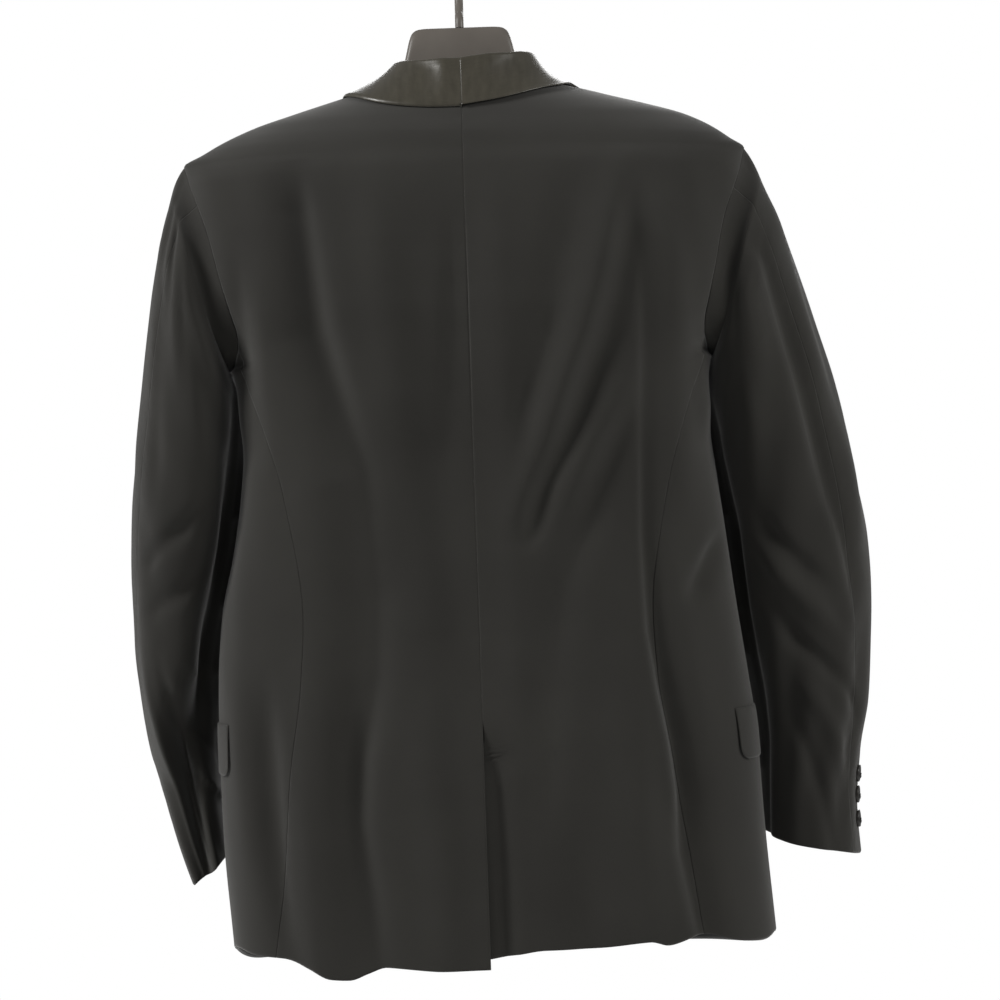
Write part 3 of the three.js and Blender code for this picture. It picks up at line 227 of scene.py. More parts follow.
# Body in level slices: half widths, depths behind and before the shoulder line, squareness.
BODY_SLICES = Table("z left right back front power", [
    (-103, 76, 76, 51, 48, 2.0),
    (-106, 88, 93, 54, 50, 2.0),
    (-110, 103, 110, 57, 53, 2.0),
    (-116, 124, 132, 61, 57, 2.0),
    (-124, 151, 162, 66, 61, 2.0),
    (-134, 183, 195, 72, 66, 2.02),
    (-146, 211, 219, 79, 72, 2.05),
    (-156, 229, 233, 84, 77, 2.08),
    (-165, 245, 245, 88, 81, 2.1),
    (-180, 244, 244, 95, 87, 2.15),
    (-205, 243, 243, 102, 94, 2.2),
    (-230, 240, 240, 107, 99, 2.3),
    (-255, 236, 236, 111, 102, 2.35),
    (-280, 230, 230, 113, 104, 2.4),
    (-305, 221, 221, 115, 105, 2.4),
    (-330, 211, 211, 115, 105, 2.4),
    (-365, 202, 203, 114, 104, 2.4),
    (-400, 200, 205, 112, 102, 2.4),
    (-450, 204, 211, 109, 99, 2.4),
    (-500, 212, 217, 106, 96, 2.4),
    (-560, 225, 224, 105, 95, 2.4),
    (-620, 230, 232, 106, 96, 2.4),
    (-669, 231, 238, 108, 97, 2.4),
    (-750, 230, 242, 110, 97, 2.4),
    (-850, 224, 249, 110, 96, 2.4),
])

# Depth of the armhole behind and before the shoulder line, by degrees round it from its top.
ARMHOLE_DEPTHS = Table("angle back front", [
    (0, 0, 0),
    (18, 10, 14),
    (36, 21, 29),
    (54, 35, 43),
    (72, 48, 52),
    (90, 55, 57),
    (108, 58, 58),
    (126, 56, 54),
    (144, 46, 44),
    (162, 27, 26),
    (180, 0, 0),
])

SIDE_BACK_SEAM = Table("z x", [
    (-330, 201.4),
    (-365, 190),
    (-400, 178),
    (-450, 165),
    (-560, 149),
    (-620, 152),
    (-690, 163),
    (-760, 172),
    (-850, 183),
])

SIDE_FRONT_SEAM = Table("z y", [(-330, 44), (-400, 45), (-560, 46), (-700, 48), (-850, 50)])

# Inner edge of each front, as the distance from the centre line, less than zero past it.
FRONT_EDGE = Table("z x", [
    (-103, 71),
    (-106, 69),
    (-116, 65),
    (-134, 61),
    (-200, 56),
    (-300, 46),
    (-400, 31),
    (-480, 10),
    (-545, -18),
    (-600, -18),
    (-640, -13),
    (-690, 1),
    (-740, 20),
    (-790, 45),
    (-829, 74),
    (-850, 108),
])

LEFT_HEM = Table("x z", [
    (0, -857),
    (39, -857),
    (88, -854),
    (104, -859),
    (119, -864),
    (134, -863),
    (152, -855),
    (176, -847),
    (201, -846),
    (224, -840),
])
RIGHT_HEM = Table("x z", [
    (0, -849),
    (21, -846),
    (47, -843),
    (85, -843),
    (134, -840),
    (150, -844),
    (182, -838),
    (216, -847),
    (237, -849),
    (249, -841),
])

# Folds of the back and of the fronts: x, z, half width, rise.
BODY_FOLDS = {
    Face.BACK: (
        Fold("centre_hollow", (
            (-14, -150, 70, 0), (-18, -250, 84, -13), (-18, -420, 88, -18), (-12, -580, 84, -13),
            (-4, -700, 74, 0))),
        Fold("left_long_trough", (
            (-143, -170, 14, 0), (-142, -215, 20, -11), (-135, -320, 26, -15), (-114, -390, 26, -13),
            (-98, -440, 22, -11), (-90, -540, 25, -12), (-92, -610, 22, -11), (-106, -680, 18, -11),
            (-110, -730, 18, -11), (-102, -800, 20, -9), (-98, -860, 20, -7)), -0.25),
        Fold("left_blade_ridge", (
            (-172, -235, 12, 0), (-173, -300, 16, 4), (-172, -370, 16, 5), (-168, -450, 14, 0)), 0.2),
        Fold("left_blade_trough", (
            (-196, -225, 8, 0), (-197, -290, 9, -3), (-194, -360, 9, -3), (-189, -430, 8, 0))),
        Fold("left_broad_ridge", (
            (-72, -160, 24, 0), (-72, -240, 27, 6), (-70, -380, 26, 6), (-60, -480, 22, 0)), 0.2),
        Fold("left_seam_trough", (
            (-11, -215, 8, 0), (-13, -280, 11, -3.5), (-18, -370, 13, -4), (-22, -460, 12, 0)), 0.3),
        Fold("left_waist_ridge", (
            (-48, -500, 18, 0), (-50, -570, 20, 4), (-46, -640, 20, 3), (-44, -720, 20, 0))),
        Fold("right_seam_ridge", (
            (25, -190, 10, 0), (25, -250, 15, 3.5), (26, -400, 15, 3.5), (28, -500, 14, 3),
            (31, -610, 14, 3), (31, -670, 12, 0))),
        Fold("right_long_diagonal_trough", (
            (96, -180, 14, 0), (86, -250, 20, -7), (70, -320, 19, -8), (52, -375, 16, -6),
            (36, -425, 13, 0)), -0.1),
        Fold("right_long_diagonal_ridge", (
            (136, -165, 12, 0), (124, -225, 17, 5.5), (105, -290, 17, 7.5), (80, -355, 16, 8),
            (60, -410, 14, 7.5), (42, -455, 12, 5.5), (24, -500, 10, 0)), 0.15),
        Fold("right_second_diagonal_trough", (
            (150, -175, 13, 0), (136, -250, 17, -7), (116, -330, 16, -7.5), (92, -390, 14, -7),
            (66, -450, 12, -6), (50, -490, 10, -4), (40, -512, 8, 0)), -0.1),
        Fold("right_second_diagonal_ridge", (
            (141, -325, 12, 0), (124, -370, 15, 3.5), (98, -415, 14, 4.5), (73, -460, 12, 4),
            (48, -512, 10, 0)), 0.1),
        Fold("right_third_diagonal_trough", (
            (138, -385, 9, 0), (118, -430, 12, -4), (96, -485, 15, -6), (74, -540, 17, -6),
            (60, -610, 18, -5), (52, -700, 16, -4), (48, -760, 14, 0)), -0.15),
        Fold("right_blade_ridge", (
            (166, -200, 12, 0), (176, -270, 16, 3), (178, -360, 16, 4), (176, -450, 14, 2),
            (176, -500, 12, 0))),
        Fold("right_side_crease", (
            (150, -235, 5, 0), (149, -300, 6, -2), (145, -400, 6, -2.5), (143, -500, 7, -4),
            (147, -580, 9, -6), (154, -629, 9, -8), (163, -675, 9, -9), (168, -720, 10, -9),
            (168, -770, 12, -7), (178, -830, 12, -6), (184, -862, 12, -4)), 0.35),
        Fold("right_skirt_ridge", (
            (120, -585, 18, 0), (124, -650, 22, 5), (124, -740, 22, 6), (126, -862, 22, 4))),
        Fold("right_skirt_trough", (
            (84, -690, 14, 0), (84, -760, 16, -3), (86, -862, 16, -3))),
        Fold("left_skirt_ridge", (
            (-146, -560, 14, 0), (-145, -640, 19, 5), (-144, -740, 19, 6), (-142, -862, 18, 4)), 0.15),
        Fold("left_side_trough", (
            (-180, -590, 9, 0), (-183, -660, 12, -6), (-182, -740, 12, -7), (-177, -800, 11, -4),
            (-172, -850, 10, 0))),
        Fold("left_side_ridge", (
            (-203, -480, 10, 0), (-205, -560, 12, 3), (-207, -680, 12, 3), (-204, -800, 12, 0))),
        Fold("left_lap_ridge", (
            (-46, -620, 16, 0), (-43, -690, 20, 4), (-38, -780, 20, 5), (-38, -862, 20, 4))),
        Fold("right_elbow_dent", (
            (176, -560, 9, 0), (188, -543, 9, -5), (202, -517, 8, -6), (212, -495, 7, 0))),
        Fold("right_vent_trough", (
            (9, -668, 4, 0), (11, -700, 7, -3), (14, -780, 8, -4), (15, -860, 8, -4))),
    ),
    Face.FRONT: (
        Fold("left_front_drape", (
            (-150, -230, 14, 0), (-148, -300, 22, -6), (-138, -470, 24, -7), (-150, -640, 22, -6),
            (-146, -862, 22, -6)), 0.2),
        Fold("left_front_ridge", (
            (-92, -560, 18, 0), (-97, -650, 22, 5), (-108, -862, 22, 5))),
        Fold("left_chest_ridge", (
            (-178, -250, 14, 0), (-176, -330, 18, 4), (-172, -440, 16, 0))),
        Fold("left_button_drag", (
            (-24, -556, 7, 0), (-62, -530, 9, -3), (-112, -490, 11, 0))),
        Fold("right_front_drape", (
            (152, -220, 14, 0), (150, -290, 21, -6), (136, -440, 22, -7), (146, -620, 22, -6),
            (160, -862, 22, -6)), -0.2),
        Fold("right_front_ridge", (
            (98, -545, 18, 0), (102, -640, 23, 5), (118, -862, 24, 5))),
        Fold("right_chest_ridge", (
            (180, -250, 14, 0), (179, -330, 18, 4), (174, -440, 16, 0))),
        Fold("right_button_drag", (
            (34, -552, 8, 0), (72, -524, 10, -3), (122, -486, 12, 0))),
    ),
}

# Sleeve rings: outer and inner point, half depth and how far forward the ring hangs.
SLEEVE_RINGS = {
    Side.LEFT: Table("along outer_x outer_z inner_x inner_z depth forward", [
        (0.03, 252, -174, 212, -343, 64, 0),
        (0.055, 255.6, -186, 210, -346.5, 69, 1.4),
        (0.08, 259, -198, 208, -352, 73, 3),
        (0.14, 268, -229, 205, -363, 77, 7),
        (0.21, 276, -268, 203.5, -378, 79, 11),
        (0.29, 284.5, -318, 202.5, -396, 79, 15),
        (0.37, 292, -370, 203.5, -420, 78, 19),
        (0.44, 299, -420, 205.5, -450, 76, 22),
        (0.52, 304, -478, 210, -484, 72, 26),
        (0.59, 306, -528, 218, -528, 68, 29),
        (0.66, 306, -576, 227, -575, 66, 32),
        (0.73, 303, -622, 232, -624, 64, 34),
        (0.8, 297, -668, 235, -664, 63, 36),
        (0.87, 287, -712, 234, -706, 62, 37),
        (0.94, 276, -757, 231, -745, 61, 38),
        (1, 264, -795, 229, -772, 61, 38),
    ]),
    Side.RIGHT: Table("along outer_x outer_z inner_x inner_z depth forward", [
        (0.03, 252, -175, 212, -343, 64, 0),
        (0.055, 257, -187.5, 210, -346.5, 67, 1.4),
        (0.08, 262, -200, 208, -352, 69, 3),
        (0.14, 274, -227, 205.5, -366, 71, 7),
        (0.21, 286, -264, 205.5, -384, 72, 11),
        (0.29, 300, -310, 207, -404, 71, 15),
        (0.37, 313.5, -356, 209, -428, 70, 18),
        (0.44, 325, -404, 212.5, -456, 67, 21),
        (0.52, 337, -460, 217, -492, 62, 24),
        (0.59, 344, -508, 220, -525, 57, 26),
        (0.66, 346, -556, 225, -564, 53, 28),
        (0.73, 344, -604, 232, -606, 51, 30),
        (0.8, 341, -650, 239.5, -648, 50, 31),
        (0.87, 332, -697, 243.5, -692, 48, 32),
        (0.94, 328, -740, 243.5, -732, 47, 33),
        (1, 330, -785, 244, -768, 46, 33),
    ]),
}
SLEEVE_SEAMS = {
    Side.LEFT: Table("along back front", [(0, -54, 126), (0.5, -42, 132), (1, 4, 150)]),
    Side.RIGHT: Table("along back front", [(0, -54, 126), (0.5, -52, 130), (1, -42, 140)]),
}

# Folds of the sleeves: degrees round, share of the length, half width in mm, rise in mm.
SLEEVE_FOLDS = {
    Side.LEFT: (
        Fold("inner_front_roll", (
            (150, 0.035, 15, 0), (150, 0.07, 18, 13), (150, 0.15, 20, 12), (150, 0.55, 20, 10), (150, 0.7, 18, 0))),
        Fold("inner_rear_tuck", (
            (-166, 0.1, 14, 0), (-162, 0.2, 15, -6), (-158, 0.35, 17, -10), (-156, 0.5, 20, -14),
            (-152, 0.62, 22, -18), (-146, 0.72, 27, -22), (-126, 0.77, 40, -28), (-98, 0.82, 48, -37),
            (-88, 0.88, 52, -40), (-84, 1, 52, -38)), 0.1),
        Fold("head_drag_1", ((-30, 0.03, 4, 0), (-34, 0.07, 5, -2.5), (-40, 0.14, 5, -2.5), (-46, 0.2, 5, 0))),
        Fold("head_drag_2", ((-46, 0.04, 4, 0), (-52, 0.08, 5, -2.5), (-60, 0.15, 6, -3), (-66, 0.24, 6, 0))),
        Fold("head_drag_3", ((-12, 0.03, 4, 0), (-14, 0.07, 5, -1.8), (-18, 0.15, 6, -1.8), (-22, 0.22, 6, 0))),
        Fold("head_drag_4", ((-70, 0.08, 5, 0), (-78, 0.14, 6, -2.5), (-86, 0.24, 7, -2.5), (-92, 0.34, 7, 0))),
        Fold("upper_trough", ((-50, 0.22, 8, 0), (-56, 0.3, 11, -3), (-64, 0.42, 11, -3.5), (-66, 0.52, 9, 0))),
        Fold("elbow_trough_1", ((-120, 0.46, 8, 0), (-95, 0.52, 9, -4.5), (-60, 0.56, 9, -4), (-30, 0.57, 9, 0))),
        Fold("elbow_trough_2", ((-125, 0.56, 8, 0), (-100, 0.6, 9, -4), (-68, 0.62, 9, -4), (-42, 0.62, 9, 0))),
        Fold("forearm_trough", ((-70, 0.66, 8, 0), (-86, 0.76, 11, -5), (-108, 0.86, 11, -5), (-120, 0.96, 9, -2))),
        Fold("forearm_ridge", ((-44, 0.62, 8, 0), (-52, 0.74, 10, 3.5), (-62, 0.88, 10, 3), (-66, 1, 9, 1))),
        Fold("front_elbow_trough", ((60, 0.44, 9, 0), (92, 0.5, 10, -5), (130, 0.54, 10, -5), (165, 0.54, 9, 0))),
        Fold("front_elbow_ridge", ((70, 0.52, 8, 0), (100, 0.57, 9, 4), (140, 0.6, 9, 3), (165, 0.6, 8, 0))),
        Fold("front_forearm", ((80, 0.66, 8, 0), (86, 0.76, 11, -4), (96, 0.9, 11, -3), (100, 1, 9, -1))),
    ),
    Side.RIGHT: (
        Fold("inner_front_roll", (
            (150, 0.035, 15, 0), (150, 0.07, 18, 13), (150, 0.15, 20, 13), (150, 0.55, 20, 11), (150, 0.8, 18, 9),
            (150, 0.92, 16, 0))),
        Fold("inner_rear_tuck", (
            (-170, 0.12, 12, 0), (-166, 0.25, 13, -5), (-164, 0.4, 14, -7), (-160, 0.55, 15, -11),
            (-160, 0.68, 15, -10), (-162, 0.8, 14, -8), (-166, 1, 12, -5)), 0.15),
        Fold("long_trough", (
            (-78, 0.05, 7, 0), (-66, 0.12, 9, -5), (-66, 0.24, 10, -7), (-66, 0.4, 10, -7),
            (-62, 0.52, 10, -6), (-52, 0.62, 9, -4), (-46, 0.7, 8, 0)), -0.2),
        Fold("head_ridge", ((-96, 0.05, 6, 0), (-92, 0.12, 9, 3), (-92, 0.24, 10, 3.5), (-92, 0.36, 9, 0))),
        Fold("outer_ridge", ((-38, 0.2, 8, 0), (-38, 0.34, 11, 3), (-34, 0.5, 11, 3), (-30, 0.6, 9, 0))),
        Fold("elbow_trough_1", ((-128, 0.5, 7, 0), (-112, 0.56, 8, -5), (-88, 0.62, 8, -5), (-66, 0.66, 7, 0)), 0.2),
        Fold("elbow_ridge", ((-132, 0.55, 7, 0), (-110, 0.62, 9, 5), (-84, 0.68, 9, 5), (-56, 0.74, 8, 0))),
        Fold("elbow_trough_2", (
            (-128, 0.64, 7, 0), (-104, 0.71, 8, -5.5), (-80, 0.75, 8, -5.5), (-54, 0.79, 7, -3),
            (-36, 0.84, 6, 0)), 0.2),
        Fold("forearm_ridge", ((-110, 0.76, 8, 0), (-90, 0.8, 9, 3.5), (-66, 0.86, 9, 3.5), (-50, 0.93, 8, 0))),
        Fold("forearm_trough", ((-120, 0.8, 7, 0), (-100, 0.86, 8, -3), (-82, 0.93, 8, -3), (-74, 1, 8, -1))),
        Fold("front_elbow_trough", ((62, 0.46, 8, 0), (92, 0.52, 10, -5), (130, 0.56, 10, -5), (165, 0.56, 8, 0))),
        Fold("front_elbow_ridge", ((70, 0.54, 8, 0), (100, 0.6, 9, 4), (140, 0.63, 9, 3), (165, 0.63, 8, 0))),
        Fold("front_forearm", ((84, 0.7, 8, 0), (90, 0.8, 10, -3.5), (98, 0.92, 10, -3), (102, 1, 8, -1))),
    ),
}

# Collar round the neck: seam angle, middle of the rolled edge, angle and level of the leaf's edge.
COLLAR_SECTIONS = {
    Side.LEFT: (
        (-90, 0, -47.5, -88, -90, -126.5),
        (-80, 10, -47, -88, -80, -126),
        (-70, 19, -45.5, -88, -70, -123.5),
        (-60, 28, -42.5, -87.8, -60, -120),
        (-50, 36, -38, -87.4, -50, -116.5),
        (-40, 43, -32, -86.8, -40, -113.7),
        (-30, 49, -24.5, -86, -30, -112),
        (-20, 53.5, -16, -85.2, -21, -111),
        (-10, 56, -7, -84.4, -12, -110.5),
        (0, 57, 2, -84, -3, -110.2),
        (9, 57, 11, -84.6, 7, -110.5),
        (22, 58, 22, -88, 19, -113),
    ),
    Side.RIGHT: (
        (-90, 0, -47.5, -88, -90, -126.5),
        (-80, 10.5, -47, -86.5, -80, -122),
        (-70, 20.5, -45.5, -85.4, -71, -117.8),
        (-60, 30, -42.5, -84.4, -61, -114),
        (-50, 39, -38, -83.2, -51, -111.4),
        (-40, 46.5, -32, -82, -41, -110),
        (-30, 53, -24.5, -80.8, -31, -108.8),
        (-20, 58, -16, -80, -22, -107.6),
        (-10, 60.5, -7, -79.6, -13, -106.8),
        (0, 61, 2, -80, -4, -106.6),
        (9, 61, 11, -81.6, 6, -107.2),
        (22, 61, 22, -86, 18, -111),
    ),
}

# Creases of the collar: distance from the centre-back seam, distance from the sewn edge, half width, rise.
COLLAR_FOLDS = {
    Side.LEFT: (
        Fold("bright_crease", ((17, 26, 4, 0), (15, 34, 5, 1.9), (13, 52, 5, 1.9), (17, 66, 5, 1.0))),
        Fold("soft_block", ((30, 26, 7, 0), (31, 38, 9, -1.6), (32, 62, 9, -1.5))),
        Fold("shoulder_crease", ((52, 30, 7, 0), (58, 42, 9, 1.1), (64, 60, 9, 0.8))),
        Fold("turn_trough", ((84, 30, 8, 0), (90, 42, 9, -1.0), (96, 58, 9, -0.6))),
        Fold("lapel_roll", ((210, 34, 16, 0), (280, 40, 20, 1.4), (360, 40, 20, 0))),
    ),
    Side.RIGHT: (
        Fold("soft_block", ((20, 28, 8, 0), (22, 40, 12, -1.5), (24, 60, 12, -1.0))),
        Fold("shoulder_crease", ((44, 28, 7, 0), (46, 40, 9, 1.0), (50, 56, 9, 0.7))),
        Fold("turn_trough", ((78, 30, 8, 0), (84, 42, 9, -1.0), (90, 54, 9, -0.6))),
        Fold("lapel_roll", ((220, 34, 16, 0), (300, 40, 20, 1.4), (370, 40, 20, 0))),
    ),
}
LAPEL_SHAPE = Table("level rise roll leaf_x leaf_level", [
    (-106, 12, 8, 108, -121),
    (-116, 8, 9, 113, -142),
    (-134, 6, 9, 118, -166),
    (-165, 5, 9, 124, -198),
    (-227, 5, 9, 129, -252),
    (-283, 5, 9, 125, -304),
    (-353, 5, 8, 108, -370),
    (-410, 4.5, 7, 84, -422),
    (-470, 3.5, 4.4, 51, -477),
    (-520, 2.6, 3.6, 18, -524),
    (-545, 2.4, 3.6, -4, -549),
])
LAPEL_LEVELS = (
    -106, -110, -116, -124, -134, -146, -156, -165, -175, -190, -208, -227, -255, -283, -307, -328,
    -353, -380, -410, -440, -470, -495, -520, -545,
)

# Hanger, by distance from the middle: top, bottom and half depth of the hump, height and depth of the arm.
HANGER_HUMP = (
    (0, -51, -112, 11),
    (14, -51, -112, 11),
    (28, -51, -113, 11),
    (36, -51.6, -114, 11),
    (41, -54.2, -115, 11),
    (43.6, -59, -116, 11),
    (45.6, -66, -117, 11),
    (48, -76, -118, 11),
    (51, -87, -119, 11),
    (55, -95, -121, 11),
    (61, -101.5, -124, 11),
    (68, -105.2, -127, 11.5),
)
HANGER_ARM = (
    (78, 22, 12),
    (95, 23, 13),
    (115, 24, 14),
    (140, 26, 16),
    (165, 27, 18.5),
    (188, 28, 20),
    (203, 27, 19),
    (211, 22, 16),
    (216, 12, 8),
)


@dataclass(frozen=True)
class NodeSheet:
    """A material's node tree, with short calls to add and link nodes."""

    material: bpy.types.Material

    @classmethod
    def named(cls, name: str) -> "NodeSheet":
        """A new material of that name with its shader in place."""
        material = bpy.data.materials.new(name)
        material.use_nodes = True
        return cls(material)

    @property
    def shader(self) -> bpy.types.Node:
        """The surface shader."""
        return self.material.node_tree.nodes["Principled BSDF"]

    def add(self, kind: str) -> bpy.types.Node:
        """Adds a node of a type, named without its ShaderNode prefix."""
        return self.material.node_tree.nodes.new("ShaderNode" + kind)

    def link(self, source: bpy.types.NodeSocket, target: bpy.types.NodeSocket) -> None:
        """Links an output to an input."""
        self.material.node_tree.links.new(source, target)

    def math(self, operation: str, first: object, second: object = 0.0) -> bpy.types.NodeSocket:
        """Adds a math node.

        Args:
            operation: The operation's name.
            first: A socket or a number.
            second: A socket or a number.

        Returns:
            The result's socket.
        """
        node = self.add("Math")
        node.operation = operation
        for socket, value in zip(node.inputs, (first, second)):
            if isinstance(value, bpy.types.NodeSocket):
                self.link(value, socket)
            else:
                socket.default_value = value
        return node.outputs[0]

    def noise(self, place: bpy.types.NodeSocket, scale: float, detail: float = 3.0) -> bpy.types.NodeSocket:
        """Adds a noise.

        Args:
            place: The coordinates.
            scale: The noise's scale.
            detail: How many finer layers it has.

        Returns:
            The noise's value.
        """
        node = self.add("TexNoise")
        node.inputs["Scale"].default_value = scale
        node.inputs["Detail"].default_value = detail
        self.link(place, node.inputs["Vector"])
        return node.outputs["Fac"]

    def mapped(self, place: bpy.types.NodeSocket, scale: tuple, turn: float = 0.0) -> bpy.types.NodeSocket:
        """Adds a mapping.

        Args:
            place: The coordinates.
            scale: The scale in each direction.
            turn: The turn in the plane, in degrees.

        Returns:
            The mapped coordinates.
        """
        node = self.add("Mapping")
        node.inputs["Scale"].default_value = scale
        node.inputs["Rotation"].default_value = (0, 0, turn * RADIANS)
        self.link(place, node.inputs["Vector"])
        return node.outputs["Vector"]

    def blended(self, share: bpy.types.NodeSocket, dark: tuple, light: tuple) -> bpy.types.NodeSocket:
        """Adds a blend of two colours.

        Args:
            share: The share of the light one.
            dark: The dark colour.
            light: The light colour.

        Returns:
            The blended colour.
        """
        node = self.add("ValToRGB")
        node.color_ramp.elements[0].position = 0.3
        node.color_ramp.elements[1].position = 0.7
        node.color_ramp.elements[0].color = (*dark, 1)
        node.color_ramp.elements[1].color = (*light, 1)
        self.link(share, node.inputs["Fac"])
        return node.outputs["Color"]

    def bumped(self, height: bpy.types.NodeSocket, strength: float, distance: float) -> None:
        """Bumps the surface by a height, in metres at full strength."""
        node = self.add("Bump")
        node.inputs["Strength"].default_value = strength
        node.inputs["Distance"].default_value = distance
        self.link(height, node.inputs["Height"])
        self.link(node.outputs["Normal"], self.shader.inputs["Normal"])


@dataclass(frozen=True)
class TwillFinish:
    """Fine worsted twill: steep diagonal ribs, a little nap, and uneven colour."""

    name: str
    dark: tuple[float, float, float]
    light: tuple[float, float, float]
    rib: float = 0.0007
    lean: float = 63.0
    roughness: float = 0.86
    sheen: float = 0.32
    bump: float = 0.28

    def material(self) -> bpy.types.Material:
        """Makes the material.

        Returns:
            The material, reading the piece's UV map in metres.
        """
        sheet = NodeSheet.named(self.name)
        place = sheet.add("TexCoord")
        weave = sheet.mapped(place.outputs["UV"], (1, 1, 1), self.lean)
        parts = sheet.add("SeparateXYZ")
        sheet.link(weave, parts.inputs[0])
        wander = sheet.noise(place.outputs["UV"], 900, 2)
        phase = sheet.math("MULTIPLY", parts.outputs["X"], 2 * math.pi / self.rib)
        phase = sheet.math("ADD", phase, sheet.math("MULTIPLY", wander, 2.4))
        ribs = sheet.math("SINE", phase)
        nap = sheet.noise(sheet.mapped(place.outputs["UV"], (1, 0.25, 1)), 2600, 4)
        cloud = sheet.noise(place.outputs["Object"], 9, 3)
        height = sheet.math("ADD", sheet.math("MULTIPLY", ribs, 0.5), nap)
        share = sheet.math("MULTIPLY", sheet.math("ADD", nap, cloud), 0.5)
        share = sheet.math("ADD", share, sheet.math("MULTIPLY", ribs, 0.06))
        sheet.link(sheet.blended(share, self.dark, self.light), sheet.shader.inputs["Base Color"])
        sheet.shader.inputs["Roughness"].default_value = self.roughness
        sheet.shader.inputs["Specular IOR Level"].default_value = 0.25
        sheet.shader.inputs["Sheen Weight"].default_value = self.sheen
        sheet.shader.inputs["Sheen Roughness"].default_value = 0.45
        sheet.bumped(height, self.bump, 0.0002)
        return sheet.material


@dataclass(frozen=True)
class SatinFinish:
    """Satin: a smooth warp-faced cloth whose gloss wanders with its fine ribs."""

    name: str
    dark: tuple[float, float, float]
    light: tuple[float, float, float]
    roughness: float = 0.36
    sheen: float = 0.25
    bump: float = 0.2

    def material(self) -> bpy.types.Material:
        """Makes the material.

        Returns:
            The material, reading the piece's UV map in metres.
        """
        sheet = NodeSheet.named(self.name)
        place = sheet.add("TexCoord")
        warp = sheet.noise(sheet.mapped(place.outputs["UV"], (1, 0.04, 1)), 2400, 3)
        slub = sheet.noise(sheet.mapped(place.outputs["UV"], (1, 3, 1)), 60, 3)
        share = sheet.math("MULTIPLY", sheet.math("ADD", warp, slub), 0.5)
        sheet.link(sheet.blended(share, self.dark, self.light), sheet.shader.inputs["Base Color"])
        rough = sheet.math("ADD", sheet.math("MULTIPLY", slub, 0.14), self.roughness - 0.07)
        sheet.link(rough, sheet.shader.inputs["Roughness"])
        sheet.shader.inputs["Sheen Weight"].default_value = self.sheen
        sheet.shader.inputs["Sheen Roughness"].default_value = 0.3
        sheet.shader.inputs["Specular IOR Level"].default_value = 0.6
        height = sheet.math("ADD", warp, sheet.math("MULTIPLY", slub, 1.5))
        sheet.bumped(height, self.bump, 0.0002)
        return sheet.material


@dataclass(frozen=True)
class PlasticFinish:
    """Moulded plastic with faint mottling and a fine skin."""

    name: str
    dark: tuple[float, float, float]
    light: tuple[float, float, float]
    roughness: float
    grain: float
    bump: float

    def material(self) -> bpy.types.Material:
        """Makes the material.

        Returns:
            The material, reading Object coordinates.
        """
        sheet = NodeSheet.named(self.name)
        place = sheet.add("TexCoord").outputs["Object"]
        skin = sheet.noise(place, self.grain, 4)
        cloud = sheet.noise(place, 22, 3)
        sheet.link(sheet.blended(cloud, self.dark, self.light), sheet.shader.inputs["Base Color"])
        rough = sheet.math("ADD", sheet.math("MULTIPLY", cloud, 0.16), self.roughness - 0.08)
        sheet.link(rough, sheet.shader.inputs["Roughness"])
        sheet.bumped(skin, self.bump, 0.0003)
        return sheet.material


@dataclass
class Finishes:
    """The finishes of the jacket and its hanger, each made once."""

    wool: bpy.types.Material = field(init=False)
    satin: bpy.types.Material = field(init=False)
    lining: bpy.types.Material = field(init=False)
    button: bpy.types.Material = field(init=False)
    thread: bpy.types.Material = field(init=False)
    hanger: bpy.types.Material = field(init=False)

    def __post_init__(self) -> None:
        """Makes the materials."""
        self.wool = TwillFinish("black_wool_twill", (0.0185, 0.0175, 0.0155), (0.0295, 0.0285, 0.0250)).material()
        self.satin = SatinFinish("facing_satin", (0.040, 0.036, 0.026), (0.062, 0.056, 0.041)).material()
        self.lining = SatinFinish("body_lining", (0.017, 0.017, 0.017), (0.027, 0.027, 0.027), 0.42, 0.1).material()
        self.button = PlasticFinish(
            "dark_button", (0.010, 0.009, 0.008), (0.018, 0.016, 0.013), 0.3, 900, 0.08).material()
        self.thread = TwillFinish("sewing_thread", (0.018, 0.018, 0.017), (0.036, 0.035, 0.033), 0.0004).material()
        self.hanger = PlasticFinish(
            "hanger_plastic", (0.116, 0.103, 0.091), (0.140, 0.126, 0.111), 0.46, 700, 0.12).material()


def steps_between(ends: tuple[float, float], step: float, edge: Iterable[float]) -> np.ndarray:
    """Places along a piece, close together at its edges.

    Args:
        ends: The first and the last place.
        step: The greatest step.
        edge: Distances of the extra places from each end.

    Returns:
        The places in order.
    """
    start, end = ends
    way = 1 if end > start else -1
    near = np.array(sorted(edge))
    inside = abs(end - start) - 2 * near[-1]
    count = max(int(math.ceil(inside / step)), 1)
    middle = near[-1] + np.linspace(0, inside, count + 1)[1:-1]
    places = np.concatenate([near, middle, abs(end - start) - near[::-1]])
    return start + way * places


